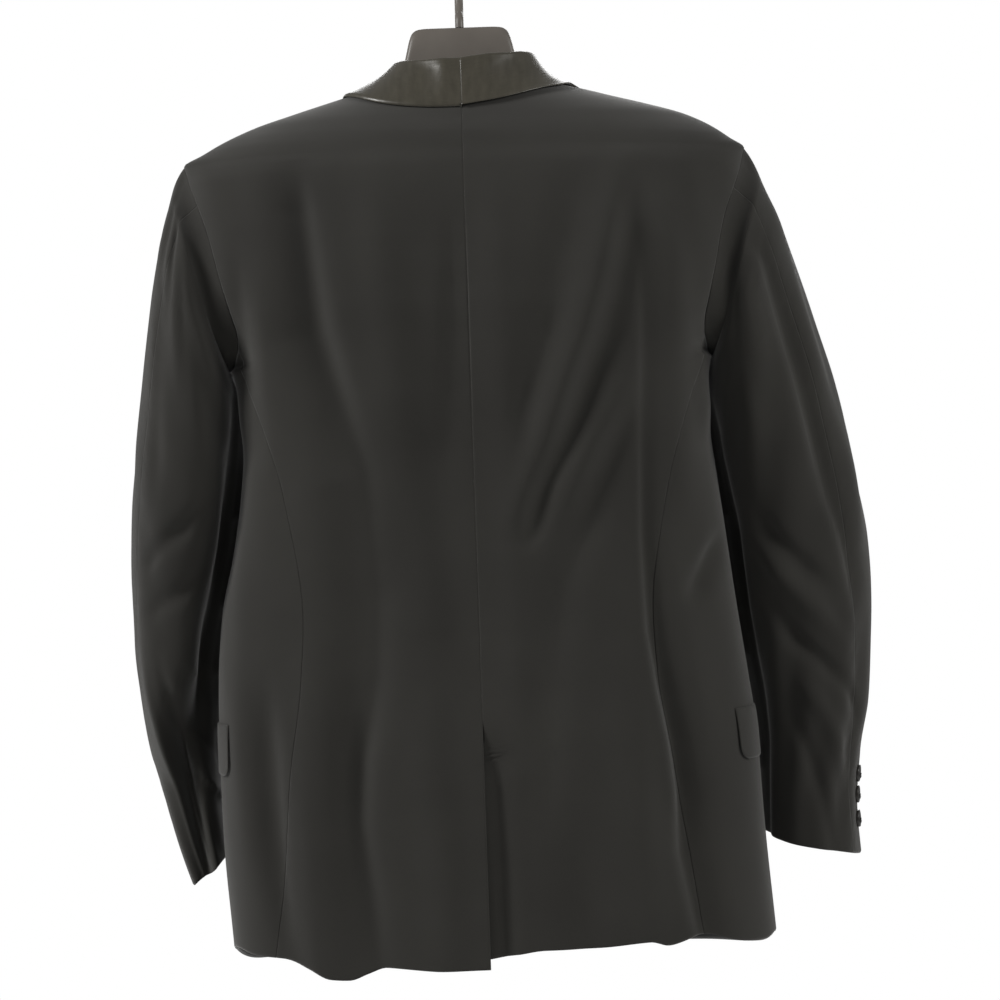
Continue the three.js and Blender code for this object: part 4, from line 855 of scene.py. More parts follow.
@dataclass
class ClothPiece:
    """A cloth piece as a thin closed wall on a grid of places of its outer surface, in millimetres.

    edges are the finishes of the first row, the last row, the first column and the last column.
    """

    name: str
    outer: np.ndarray
    outward: np.ndarray
    edges: tuple[Edge, Edge, Edge, Edge]
    wall: float = 1.8
    hem: float = 0.0
    seed: int = 1
    seam_sink: float = 0.3
    seam_width: float = 0.8
    seam_hollow: float = 0.2
    hollow_width: float = 6
    pucker: float = 0.12
    pucker_width: float = 8
    pucker_pitch: tuple[float, float] = (15, 21)
    pucker_beat: float = 2.3
    pucker_phase: float = 6.28
    pressed_share: float = 0.42
    pressed_width: float = 0.9
    hem_top: tuple[float, float] = (42, 38)
    hem_foot: tuple[float, float] = (0, 1.5)

    def normals(self) -> np.ndarray:
        """Outward normals of the grid."""
        across, down = np.gradient(self.outer, axis=1), np.gradient(self.outer, axis=0)
        normal = unit(np.cross(across, down))
        return normal if np.sum(normal * self.outward) > 0 else -normal

    def runs(self) -> tuple[np.ndarray, np.ndarray]:
        """Distances along the rows and down the columns."""
        across = np.linalg.norm(np.diff(self.outer, axis=1), axis=-1)
        down = np.linalg.norm(np.diff(self.outer, axis=0), axis=-1)
        rows, columns = self.outer.shape[:2]
        across = np.concatenate([np.zeros((rows, 1)), np.cumsum(across, axis=1)], axis=1)
        down = np.concatenate([np.zeros((1, columns)), np.cumsum(down, axis=0)], axis=0)
        return across, down

    def finished(self) -> tuple[np.ndarray, np.ndarray, np.ndarray]:
        """The outer and the inner grid with worked edges, and the UV map in metres.

        Returns:
            Outer places, inner places and map places.
        """
        normal = self.normals()
        across, down = self.runs()
        gaps = (down, down[-1:] - down, across, across[:, -1:] - across)
        alongs = (across, across, down, down)
        sink, thin = np.zeros(across.shape), np.zeros(across.shape)
        draws = np.random.default_rng(self.seed)
        for edge, gap, along in zip(self.edges, gaps, alongs):
            turn, pitch = draws.uniform(0, self.pucker_phase), draws.uniform(*self.pucker_pitch)
            if edge is Edge.SEAM:
                sink += self.seam_sink * bell(gap / self.seam_width) + self.seam_hollow * bell(gap / self.hollow_width)
                slow = np.sin(2 * np.pi * along / (self.pucker_beat * pitch))
                pucker = np.sin(2 * np.pi * along / pitch + turn) + slow
                sink += self.pucker * pucker * bell(gap / self.pucker_width) * smooth(0, 2, gap)
            if edge is Edge.FREE:
                thin += self.pressed_share * self.wall * bell(gap / self.pressed_width)
        thin = np.minimum(thin, self.pressed_share * self.wall)
        outer = self.outer - normal * (sink + thin)[..., None]
        hem = self.hem * smooth(*self.hem_top, gaps[1]) * smooth(*self.hem_foot, gaps[1])
        thick = self.wall - 2 * thin + hem
        inner = outer - normal * thick[..., None]
        return outer, inner, np.stack([across, -down], axis=-1) * MM

    def build(self, outside: bpy.types.Material, inside: bpy.types.Material) -> bpy.types.Object:
        """Makes the piece.

        Args:
            outside: Finish of the outer face and of the rim.
            inside: Finish of the inner face.

        Returns:
            The object, with its places in its mesh.
        """
        outer, inner, flat = self.finished()
        return wall_object(self.name, outer, inner, flat, outside, inside)


def wall_object(
    name: str,
    outer: np.ndarray,
    inner: np.ndarray,
    flat: np.ndarray,
    outside: bpy.types.Material,
    inside: bpy.types.Material,
) -> bpy.types.Object:
    """A closed wall between two grids.

    Args:
        name: Name of the piece.
        outer: Outer places in millimetres.
        inner: Inner places in millimetres.
        flat: UV places in metres.
        outside: Finish of the outer face and of the rim.
        inside: Finish of the inner face.

    Returns:
        The object.
    """
    rows, columns = outer.shape[:2]
    index = np.arange(rows * columns).reshape(rows, columns)
    deep = index + rows * columns
    face = np.stack([index[:-1, :-1], index[:-1, 1:], index[1:, 1:], index[1:, :-1]], axis=-1).reshape(-1, 4)
    back = np.stack([deep[:-1, :-1], deep[1:, :-1], deep[1:, 1:], deep[:-1, 1:]], axis=-1).reshape(-1, 4)
    loop = np.concatenate([index[0, :-1], index[:-1, -1], index[-1, :0:-1], index[:0:-1, 0]])
    after = np.roll(loop, -1)
    rim = np.stack([after, loop, loop + rows * columns, after + rows * columns], axis=-1)
    faces = np.concatenate([face, back, rim])
    places = np.concatenate([outer.reshape(-1, 3), inner.reshape(-1, 3)]) * MM
    corner = places[faces]
    volume = np.sum(corner[:, 0] * np.cross(corner[:, 1], corner[:, 2]))
    volume += np.sum(corner[:, 0] * np.cross(corner[:, 2], corner[:, 3]))
    if volume < 0:
        faces = faces[:, ::-1]
    mesh = bpy.data.meshes.new(name)
    mesh.from_pydata(places.tolist(), [], faces.tolist())
    mesh.materials.append(outside)
    mesh.materials.append(inside)
    slots = np.zeros(len(faces), np.int32)
    slots[len(face):len(face) + len(back)] = 1
    mesh.polygons.foreach_set("material_index", slots)
    mesh.polygons.foreach_set("use_smooth", np.ones(len(faces), bool))
    both = np.concatenate([flat.reshape(-1, 2)] * 2)
    layer = mesh.uv_layers.new(name="cloth")
    layer.data.foreach_set("uv", both[faces].astype(np.float32).ravel())
    mesh.update()
    piece = bpy.data.objects.new(name, mesh)
    bpy.context.scene.collection.objects.link(piece)
    return piece


def hand_over(piece: bpy.types.Object, slot: str, *nodes: str) -> bpy.types.Object:
    """Gives a piece to its body and lets it stand for its nodes.

    Args:
        piece: The piece.
        slot: The record's material slot, not used.
        nodes: Nodes that it stands for.

    Returns:
        The piece.
    """
    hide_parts(*nodes)
    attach(piece, BODY)
    LOG.info("%s: %d faces, stands for %s", piece.name, len(piece.data.polygons), ", ".join(nodes))
    return piece


@dataclass
class BodyForm:
    """The outer surface of the jacket's body, with its vent, closing, hem and folds."""

    neck: float = -103
    shoulder_tip: float = -165
    armhole_middle: float = -255
    armhole_half: float = 90
    underarm_angle: float = 144
    hem: float = -850
    hem_ease: float = -700
    neck_dip: float = 5
    underarm_foot: float = -341
    underarm_ease: float = 6.5
    vent_top: float = -669
    vent_ease_top: float = -648
    vent_full: float = -683
    vent_underlap: float = 38
    vent_depth: float = 4.6
    vent_ease_width: float = 30
    vent_lip_rise: float = 1.6
    under_front_depth: float = 8
    front_hem: float = -866
    ridge_shifts: tuple[float, ...] = (-18, -9, 0, 9, 18)
    ridge_share: tuple[float, float] = (0.05, 0.5)
    ridge_top: tuple[float, float] = (-126, -150)
    ridge_foot: tuple[float, float] = (-230, -195)
    drape_top: tuple[float, float] = (-120, -190)
    side_share: tuple[float, float] = (0, 0.35)
    hem_share: tuple[float, float] = (0.5, -0.35)
    underarm_step: float = 6
    underarm_end: tuple[float, float] = (-430, -385)
    underarm_turn: float = -15
    underarm_spread: float = 9
    closing_top: tuple[float, float] = (-390, -465)
    closing_foot: tuple[float, float] = (-770, -700)
    closing_width: tuple[float, float] = (80, 34)
    outward_share: float = 0.4
    shoulder_lift: float = 60
    shoulder_foot: float = -190
    probe_turn: float = 0.6
    probe_drop: float = 0.5
    drape: dict[Face, Drape] = field(default_factory=lambda: {
        Face.BACK: Drape(seed=11, height=0.9),
        Face.FRONT: Drape(seed=23, height=0.9),
    })

    @property
    def underarm_level(self) -> float:
        """Level where the side panel's seams meet the armhole."""
        return self.armhole_middle + self.armhole_half * math.cos(self.underarm_angle * RADIANS)

    def width(self, side: Side, level: np.ndarray) -> np.ndarray:
        """Half width of the slices."""
        return BODY_SLICES.read(side.word, level)

    def lap_sink(self, side: Side, x: np.ndarray, level: np.ndarray, behind: np.ndarray) -> np.ndarray:
        """How far the under layers of the vent and of the closing lie below the outer ones.

        Args:
            side: The side.
            x: Distances from the centre line, signed.
            level: Levels.
            behind: Whether each place is on the back.

        Returns:
            The sink at each place.
        """
        if side is Side.LEFT:
            lip = smooth(self.vent_top, self.hem, level) * smooth(-self.vent_ease_width, 0, x)
            return np.where(behind, -self.vent_lip_rise * lip, 0)
        under = smooth(self.vent_ease_top, self.vent_full, level) * smooth(self.vent_ease_width, 1, x)
        closing = smooth(*self.closing_top, level) * smooth(*self.closing_foot, level)
        closing = closing * smooth(*self.closing_width, x)
        return np.where(behind, self.vent_depth * under, self.under_front_depth * closing)

    def point(self, side: Side, t: np.ndarray, level: np.ndarray) -> np.ndarray:
        """Places on the outer surface.

        Args:
            side: The side.
            t: Degrees from -90 at the centre back through 0 at the side to 90 at the centre front.
            level: Levels.

        Returns:
            The places.
        """
        t, level = np.broadcast_arrays(np.asarray(t, float), np.asarray(level, float))
        width, power = self.width(side, level), BODY_SLICES.read("power", level)
        cosine, sine = np.cos(t * RADIANS), np.sin(t * RADIANS)
        behind = sine < 0
        eased = np.mean([self.width(side, level + shift) for shift in self.ridge_shifts], axis=0)
        off_ridge = smooth(*self.ridge_share, np.abs(sine)) * smooth(*self.ridge_top, level)
        off_ridge = off_ridge * smooth(*self.ridge_foot, level)
        width = mix(width, eased, off_ridge)
        depth = np.where(behind, BODY_SLICES.read("back", level), BODY_SLICES.read("front", level))
        across, deep = signed_power(cosine, 2 / power), signed_power(sine, 2 / power)
        x, y = side.value * width * across, depth * deep
        normal_x = side.value * signed_power(across, power - 1) / width
        normal_y = signed_power(deep, power - 1) / depth
        length = np.hypot(normal_x, normal_y)
        rise = np.zeros(x.shape)
        for face, on_face in ((Face.BACK, behind), (Face.FRONT, ~behind)):
            height = sum(fold.rise_at(x, level) for fold in BODY_FOLDS[face])
            height = height + self.drape[face].rise_at(x, level) * smooth(*self.drape_top, level)
            rise = np.where(on_face, height, rise)
        rise = rise * smooth(*self.side_share, np.abs(sine))
        rise = rise - self.lap_sink(side, x, level, behind)
        ease = smooth(self.underarm_foot, self.underarm_foot - self.underarm_step, level)
        ease = ease * smooth(*self.underarm_end, level) * bell((t - self.underarm_turn) / self.underarm_spread)
        rise = rise + self.underarm_ease * ease
        hem_table = LEFT_HEM if side is Side.LEFT else RIGHT_HEM
        hem = mix(self.front_hem, hem_table.read("z", np.abs(x)), smooth(*self.hem_share, sine))
        drop = smooth(self.hem_ease, self.hem, level) * (hem - self.hem)
        neck = -self.neck_dip * smooth(self.shoulder_tip, self.neck, level) * np.maximum(-sine, 0) ** 2
        return np.stack([x + rise * normal_x / length, y + rise * normal_y / length, level + drop + neck], axis=-1)

    def normal(self, side: Side, t: np.ndarray, level: np.ndarray) -> np.ndarray:
        """Outward normals of the surface.

        Args:
            side: The side.
            t: Degrees round.
            level: Levels.

        Returns:
            The normals.
        """
        turn, drop = self.probe_turn, self.probe_drop
        level = np.clip(level, self.hem + turn, self.neck - turn)
        across = self.point(side, t + turn, level) - self.point(side, t - turn, level)
        down = self.point(side, t, level + drop) - self.point(side, t, level - drop)
        normal, out = unit(np.cross(across, down)), self.away(self.point(side, t, level))
        return normal * np.sign(np.sum(normal * out, axis=-1, keepdims=True))

    def angle_at_x(self, side: Side, level: np.ndarray, x: np.ndarray) -> np.ndarray:
        """Degrees at which a slice is a distance from the centre line."""
        share = np.minimum(np.abs(x) / self.width(side, level), 1) ** (BODY_SLICES.read("power", level) / 2)
        return np.arccos(share * np.sign(x)) / RADIANS

    def angle_at_y(self, side: Side, level: np.ndarray, y: np.ndarray) -> np.ndarray:
        """Degrees at which a slice is a distance from the shoulder line."""
        depth = np.where(np.asarray(y) < 0, BODY_SLICES.read("back", level), BODY_SLICES.read("front", level))
        share = np.minimum(np.abs(y) / depth, 1) ** (BODY_SLICES.read("power", level) / 2)
        return np.arcsin(share) / RADIANS * np.sign(y)

    def armhole_depth(self, angle: np.ndarray) -> np.ndarray:
        """Depth of the armhole's edge by degrees round it from its top, forwards over zero."""
        turn = angle - 360 * np.round(np.asarray(angle, float) / 360)
        rear, fore = (ARMHOLE_DEPTHS.read(name, np.abs(turn)) for name in ("back", "front"))
        return np.sign(turn) * np.where(turn < 0, rear, fore)

    def armhole_place(self, side: Side, angle: np.ndarray) -> tuple[np.ndarray, np.ndarray]:
        """Degrees and level of the armhole's edge by degrees round it."""
        level = self.armhole_middle + self.armhole_half * np.cos(np.asarray(angle, float) * RADIANS)
        return self.angle_at_y(side, level, self.armhole_depth(angle)), level

    def armhole_t(self, side: Side, sense: int, level: np.ndarray) -> np.ndarray:
        """Degrees of the armhole's rear (-1) or front (1) edge at a level."""
        share = np.clip((level - self.armhole_middle) / self.armhole_half, -1, 1)
        return self.armhole_place(side, sense * np.arccos(share) / RADIANS)[0]

    def side_seam_t(self, side: Side, sense: int, level: np.ndarray) -> np.ndarray:
        """Degrees of the seam between the side panel and the back (-1) or the front (1)."""
        if sense < 0:
            return -self.angle_at_x(side, level, SIDE_BACK_SEAM.read("x", level))
        return self.angle_at_y(side, level, SIDE_FRONT_SEAM.read("y", level))

    def outer_edge_t(self, side: Side, sense: int, level: np.ndarray) -> np.ndarray:
        """Degrees of the outer edge of a back (-1) or a front (1)."""
        above = level >= self.shoulder_tip
        round_arm = (level > self.underarm_level) & ~above
        seam = np.where(round_arm, self.armhole_t(side, sense, level), self.side_seam_t(side, sense, level))
        return np.where(above, 0.0, seam)

    def front_edge_t(self, side: Side, level: np.ndarray) -> np.ndarray:
        """Degrees of the inner edge of a front."""
        return self.angle_at_x(side, level, FRONT_EDGE.read("x", level))

    def away(self, places: np.ndarray) -> np.ndarray:
        """Rough outward directions at places on the body."""
        lift = self.shoulder_lift * (places[..., 2] > self.shoulder_foot)
        return np.stack([self.outward_share * places[..., 0], places[..., 1], lift], axis=-1)


@dataclass
class JacketBody:
    """The two backs, sides and fronts."""

    form: BodyForm
    finishes: Finishes
    step: float = 4.0
    edge_steps: tuple[float, ...] = (0, 0.7, 1.6, 2.8, 4.6, 7.0)
    flats: dict[str, tuple[float, float]] = field(default_factory=lambda: {
        "back": (0.30, 0.79), "side": (0.175, 0.55), "front": (0.33, 0.80),
    })
    seam_sinks: dict[str, float] = field(default_factory=lambda: {"back": 0.24, "side": 0.05, "front": 0.1})
    widths: dict[str, float] = field(default_factory=lambda: {"back": 220, "side": 150, "front": 240})
    hem: float = 0.9
    seed: int = 31
    arm_step: float = 3
    fine_foot: float = -116
    side_top: float = -353
    side_rows: int = 10

    def levels(self) -> np.ndarray:
        """Levels of the rows of a back or a front, from neck to hem."""
        form = self.form
        angles = np.arange(0, form.underarm_angle + 1, self.arm_step)
        arm = form.armhole_middle + form.armhole_half * np.cos(angles * RADIANS)
        neck = np.arange(form.neck, self.fine_foot, -1.0)
        shoulder = np.arange(self.fine_foot - 1, form.shoulder_tip, -2.0)
        low = steps_between((form.underarm_level, form.hem), self.step, self.edge_steps)[1:]
        return np.concatenate([neck, shoulder, arm, low])

    def shares(self, word: str) -> np.ndarray:
        """Shares across a panel."""
        return steps_between((0, self.widths[word]), self.step, self.edge_steps) / self.widths[word]

    def back(self, side: Side) -> bpy.types.Object:
        """A back, with the vent's underlap on the right."""
        form, level = self.form, self.levels()
        centre = np.zeros(level.shape)
        if side is Side.RIGHT:
            share = np.clip((form.vent_top - level) / (form.vent_top - form.vent_full), 0, 1)
            centre = -form.vent_underlap * share
        first, last = -form.angle_at_x(side, level, centre), form.outer_edge_t(side, -1, level)
        return self.panel("back", side, first, last, level, (Edge.SEAM, Edge.FREE, Edge.SEAM, Edge.SEAM))

    def front(self, side: Side) -> bpy.types.Object:
        """A front, from the side seam to its inner edge."""
        level = self.levels()
        first, last = self.form.outer_edge_t(side, 1, level), self.form.front_edge_t(side, level)
        return self.panel("front", side, first, last, level, (Edge.SEAM, Edge.FREE, Edge.SEAM, Edge.FREE))

    def panel(
        self, word: str, side: Side, first: np.ndarray, last: np.ndarray, level: np.ndarray, edges: tuple
    ) -> bpy.types.Object:
        """A back or a front between two edges.

        Args:
            word: The panel's word.
            side: The side.
            first: Degrees of the first edge at each level.
            last: Degrees of the last edge at each level.
            level: The levels.
            edges: The edges' finishes.

        Returns:
            The piece.
        """
        t = mix(first[:, None], last[:, None], self.shares(word)[None, :])
        places = self.form.point(side, t, np.broadcast_to(level[:, None], t.shape))
        return self.sewn(word, side, places, edges)

    def side(self, side: Side) -> bpy.types.Object:
        """A side panel, whose first row follows the foot of the armhole."""
        form = self.form
        shares = self.shares("side")
        angle = mix(-form.underarm_angle, form.underarm_angle - 360, shares)
        top_t, top_level = form.armhole_place(side, angle)
        low = np.array([self.side_top])
        rows = np.linspace(0, 1, self.side_rows)[:-1, None]
        upper_level = mix(top_level[None, :], low, rows)
        ends = [form.side_seam_t(side, sense, upper_level) for sense in (-1, 1)]
        top_ends = [form.side_seam_t(side, sense, top_level) for sense in (-1, 1)]
        top_share = (top_t - top_ends[0]) / (top_ends[1] - top_ends[0])
        upper_t = mix(ends[0], ends[1], mix(top_share[None, :], shares[None, :], rows))
        level = steps_between((self.side_top, form.hem), self.step, self.edge_steps)
        level = np.concatenate([level[:1], level[len(self.edge_steps) - 1:]])
        lower_level = np.broadcast_to(level[:, None], (len(level), len(shares)))
        lower = [form.side_seam_t(side, sense, lower_level) for sense in (-1, 1)]
        lower_t = mix(lower[0], lower[1], shares[None, :])
        t, level = np.concatenate([upper_t, lower_t]), np.concatenate([upper_level, lower_level])
        edges = (Edge.SEAM, Edge.FREE, Edge.SEAM, Edge.SEAM)
        return self.sewn("side", side, form.point(side, t, level), edges)

    def sewn(self, word: str, side: Side, places: np.ndarray, edges: tuple) -> bpy.types.Object:
        """Makes a panel from its places.

        Args:
            word: The panel's word.
            side: The side.
            places: Places of the outer surface.
            edges: The edges' finishes.

        Returns:
            The piece.
        """
        node = f"{word}_{side.word}"
        seed, sink = self.seed + 7 * len(word) + side.value, self.seam_sinks[word]
        out = self.form.away(places)
        cloth = ClothPiece(f"{node}_cloth", places, out, edges, hem=self.hem, seed=seed, seam_sink=sink)
        piece = hand_over(cloth.build(self.finishes.wool, self.finishes.lining), "wool", node)
        return piece

    def build(self) -> None:
        """Builds the six panels."""
        for side in Side:
            self.back(side)
            self.side(side)
            self.front(side)


@dataclass
class Sleeve:
    """A two-piece set-in sleeve: top sleeve, under sleeve and cuff buttons."""

    side: Side
    form: BodyForm
    finishes: Finishes
    squareness: float = 2.15
    head_ease: float = 0.9
    head_end: float = 0.16
    head_flush: float = 0.75
    set_in_gap: float = 0.05
    seam_sink: float = 0.06
    length: float = 640
    degree: float = 1.08
    step: float = 4.0
    drape_height: float = 0.8
    cuff_wave: float = 2.2
    cuff_low: float = -50
    cuff_ease: tuple[float, float] = (0.9, 1)
    head_lead: float = 0.03
    head_ring: float = 0.055
    flush_start: tuple[float, float] = (6, 30)
    flush_end: tuple[float, float] = (128, 96)
    fold_start: tuple[float, float] = (0, 0.04)
    drape_start: tuple[float, float] = (0.02, 0.12)
    drape_edge: tuple[float, float] = (180, 140)
    drape_across: tuple[float, float] = (30.0, 80.0)
    drape_down: tuple[float, float] = (90.0, 300.0)
    seeds: tuple[int, int] = (41, 57)
    hem: float = 0.8
    girth_steps: float = 180
    row_steps: tuple[float, ...] = (0, 0.8, 1.8, 3, 4.6, 6.6, 9)
    edge_steps: tuple[float, ...] = (0, 0.7, 1.6, 2.8, 4.6, 7.0)
    ring_columns: tuple[str, ...] = ("outer_x", "inner_x", "outer_z", "inner_z", "depth", "forward")
    flat: tuple[float, float] = (0.24, 0.67)

    def read(self, along: np.ndarray) -> tuple[np.ndarray, ...]:
        """Outer and inner x, outer and inner level, half depth and forward hang of the rings."""
        return tuple(SLEEVE_RINGS[self.side].read(name, along) for name in self.ring_columns)

    def ring(self, angle: np.ndarray, along: np.ndarray) -> np.ndarray:
        """Places on the sleeve's rings without its folds."""
        outer_x, inner_x, outer_z, inner_z, depth, forward = self.read(along)
        across = signed_power(np.cos(angle * RADIANS), 2 / self.squareness)
        deep = signed_power(np.sin(angle * RADIANS), 2 / self.squareness)
        outward = (1 + across) / 2
        head = self.head_ease * smooth(self.head_end, 0, along)
        y = forward + mix(depth * deep, self.form.armhole_depth(angle), head)
        return np.stack([self.side.value * mix(inner_x, outer_x, outward), y, mix(inner_z, outer_z, outward)], axis=-1)

    def middle(self, along: np.ndarray) -> np.ndarray:
        """Middles of the rings."""
        outer_x, inner_x, outer_z, inner_z, _, forward = self.read(along)
        return np.stack([self.side.value * (outer_x + inner_x) / 2, forward, (outer_z + inner_z) / 2], axis=-1)

    def armhole(self, angle: np.ndarray) -> tuple[np.ndarray, np.ndarray]:
        """Places of the sleeve's edge in the armhole, and the way on in the plane of the body there."""
        t, level = self.form.armhole_place(self.side, angle)
        places, normal = self.form.point(self.side, t, level), self.form.normal(self.side, t, level)
        ahead = self.form.point(self.side, *self.form.armhole_place(self.side, angle + 1))
        behind = self.form.point(self.side, *self.form.armhole_place(self.side, angle - 1))
        out = unit(np.cross(ahead - behind, normal))
        width = float(self.form.width(self.side, np.array(self.form.armhole_middle)))
        centre = np.array([self.side.value * width, 0, self.form.armhole_middle])
        out = out * np.sign(np.sum(out * (centre - places), axis=-1, keepdims=True))
        return places + out * self.set_in_gap, out

    def fold_rise(self, angle: np.ndarray, along: np.ndarray) -> np.ndarray:
        """Height of the folds and of the waviness."""
        turn = angle - 360 * np.round(angle / 360)
        across, down = turn * self.degree, along * self.length
        rise = 0
        for fold in SLEEVE_FOLDS[self.side]:
            line = tuple((a * self.degree, b * self.length, half, high) for a, b, half, high in fold.line)
            rise = rise + Fold(fold.name, line, fold.lean).rise_at(across, down)
        seed = self.seeds[0] + self.side.value
        waves = Drape(seed, self.drape_height, across=self.drape_across, down=self.drape_down)
        around = smooth(*self.drape_edge, np.abs(turn))
        return rise + waves.rise_at(across, down) * around * smooth(*self.drape_start, along)

    def surface(self, angle: np.ndarray, along: np.ndarray) -> np.ndarray:
        """Places on the sleeve's outer surface.

        Args:
            angle: Degrees round from the outer point towards the front.
            along: Shares of the length from the armhole.

        Returns:
            The places.
        """
        angle, along = np.broadcast_arrays(np.asarray(angle, float), np.asarray(along, float))
        first, second = self.head_lead, self.head_ring
        share = np.clip(along / second, 0, 1)[..., None]
        edge, onward = self.armhole(angle)
        lead = self.ring(angle, np.full(along.shape, first))
        turn = np.abs(angle - 360 * np.round(angle / 360))
        flush = self.head_flush * smooth(*self.flush_start, turn) * smooth(*self.flush_end, turn)
        reach = np.linalg.norm(lead - edge, axis=-1, keepdims=True)
        lead = mix(lead, edge + onward * reach, flush[..., None])
        head = (1 - share) ** 2 * edge + 2 * share * (1 - share) * lead
        head = head + share**2 * self.ring(angle, np.full(along.shape, second))
        places = np.where((along < second)[..., None], head, self.ring(angle, along))
        out = unit(places - self.middle(np.maximum(along, first)))
        places = places + out * (self.fold_rise(angle, along) * smooth(*self.fold_start, along))[..., None]
        places[..., 2] -= self.cuff_drop(angle) * smooth(*self.cuff_ease, along)
        return places

    def cuff_drop(self, angle: np.ndarray) -> np.ndarray:
        """How far the cuff's edge hangs below a level cut, in its soft wave."""
        return self.cuff_wave * (np.cos((angle - self.cuff_low) * RADIANS) + 0.4 * np.cos(3 * angle * RADIANS))

    def panel(self, upper: bool) -> bpy.types.Object:
        """The top sleeve or the under sleeve.

        Args:
            upper: True for the top sleeve.

        Returns:
            The piece.
        """
        along = steps_between((0, self.length), self.step, self.row_steps) / self.length
        seams = SLEEVE_SEAMS[self.side]
        rear, fore = seams.read("back", along), seams.read("front", along)
        first, last = (rear, fore) if upper else (fore, rear + 360)
        shares = steps_between((0, self.girth_steps), self.step, self.edge_steps) / self.girth_steps
        angle = mix(first[:, None], last[:, None], shares[None, :])
        down = np.broadcast_to(along[:, None], angle.shape)
        places = self.surface(angle, down)
        outward = places - self.middle(down)
        node = f"{'top' if upper else 'under'}_sleeve_{self.side.word}"
        edges = (Edge.SEAM, Edge.FREE, Edge.SEAM, Edge.SEAM)
        seed, sink = self.seeds[1] + int(upper), self.seam_sink
        cloth = ClothPiece(f"{node}_cloth", places, outward, edges, hem=self.hem, seed=seed, seam_sink=sink)
        piece = hand_over(cloth.build(self.finishes.wool, self.finishes.lining), "wool", node)
        return piece

    def button_seat(self, angle: float, along: float) -> tuple[np.ndarray, np.ndarray]:
        """Place and outward normal of the cloth under a cuff button."""
        angle, along = np.array([angle], float), np.array([along], float)
        across = self.surface(angle + 2, along) - self.surface(angle - 2, along)
        down = self.surface(angle, along + 0.005) - self.surface(angle, along - 0.005)
        place, normal = self.surface(angle, along)[0], unit(np.cross(across, down))[0]
        outward = place - self.middle(along)[0]
        return place, normal * np.sign(np.dot(normal, outward))

    def build(self) -> None:
        """Builds both panels of the sleeve."""
        self.panel(True)
        self.panel(False)


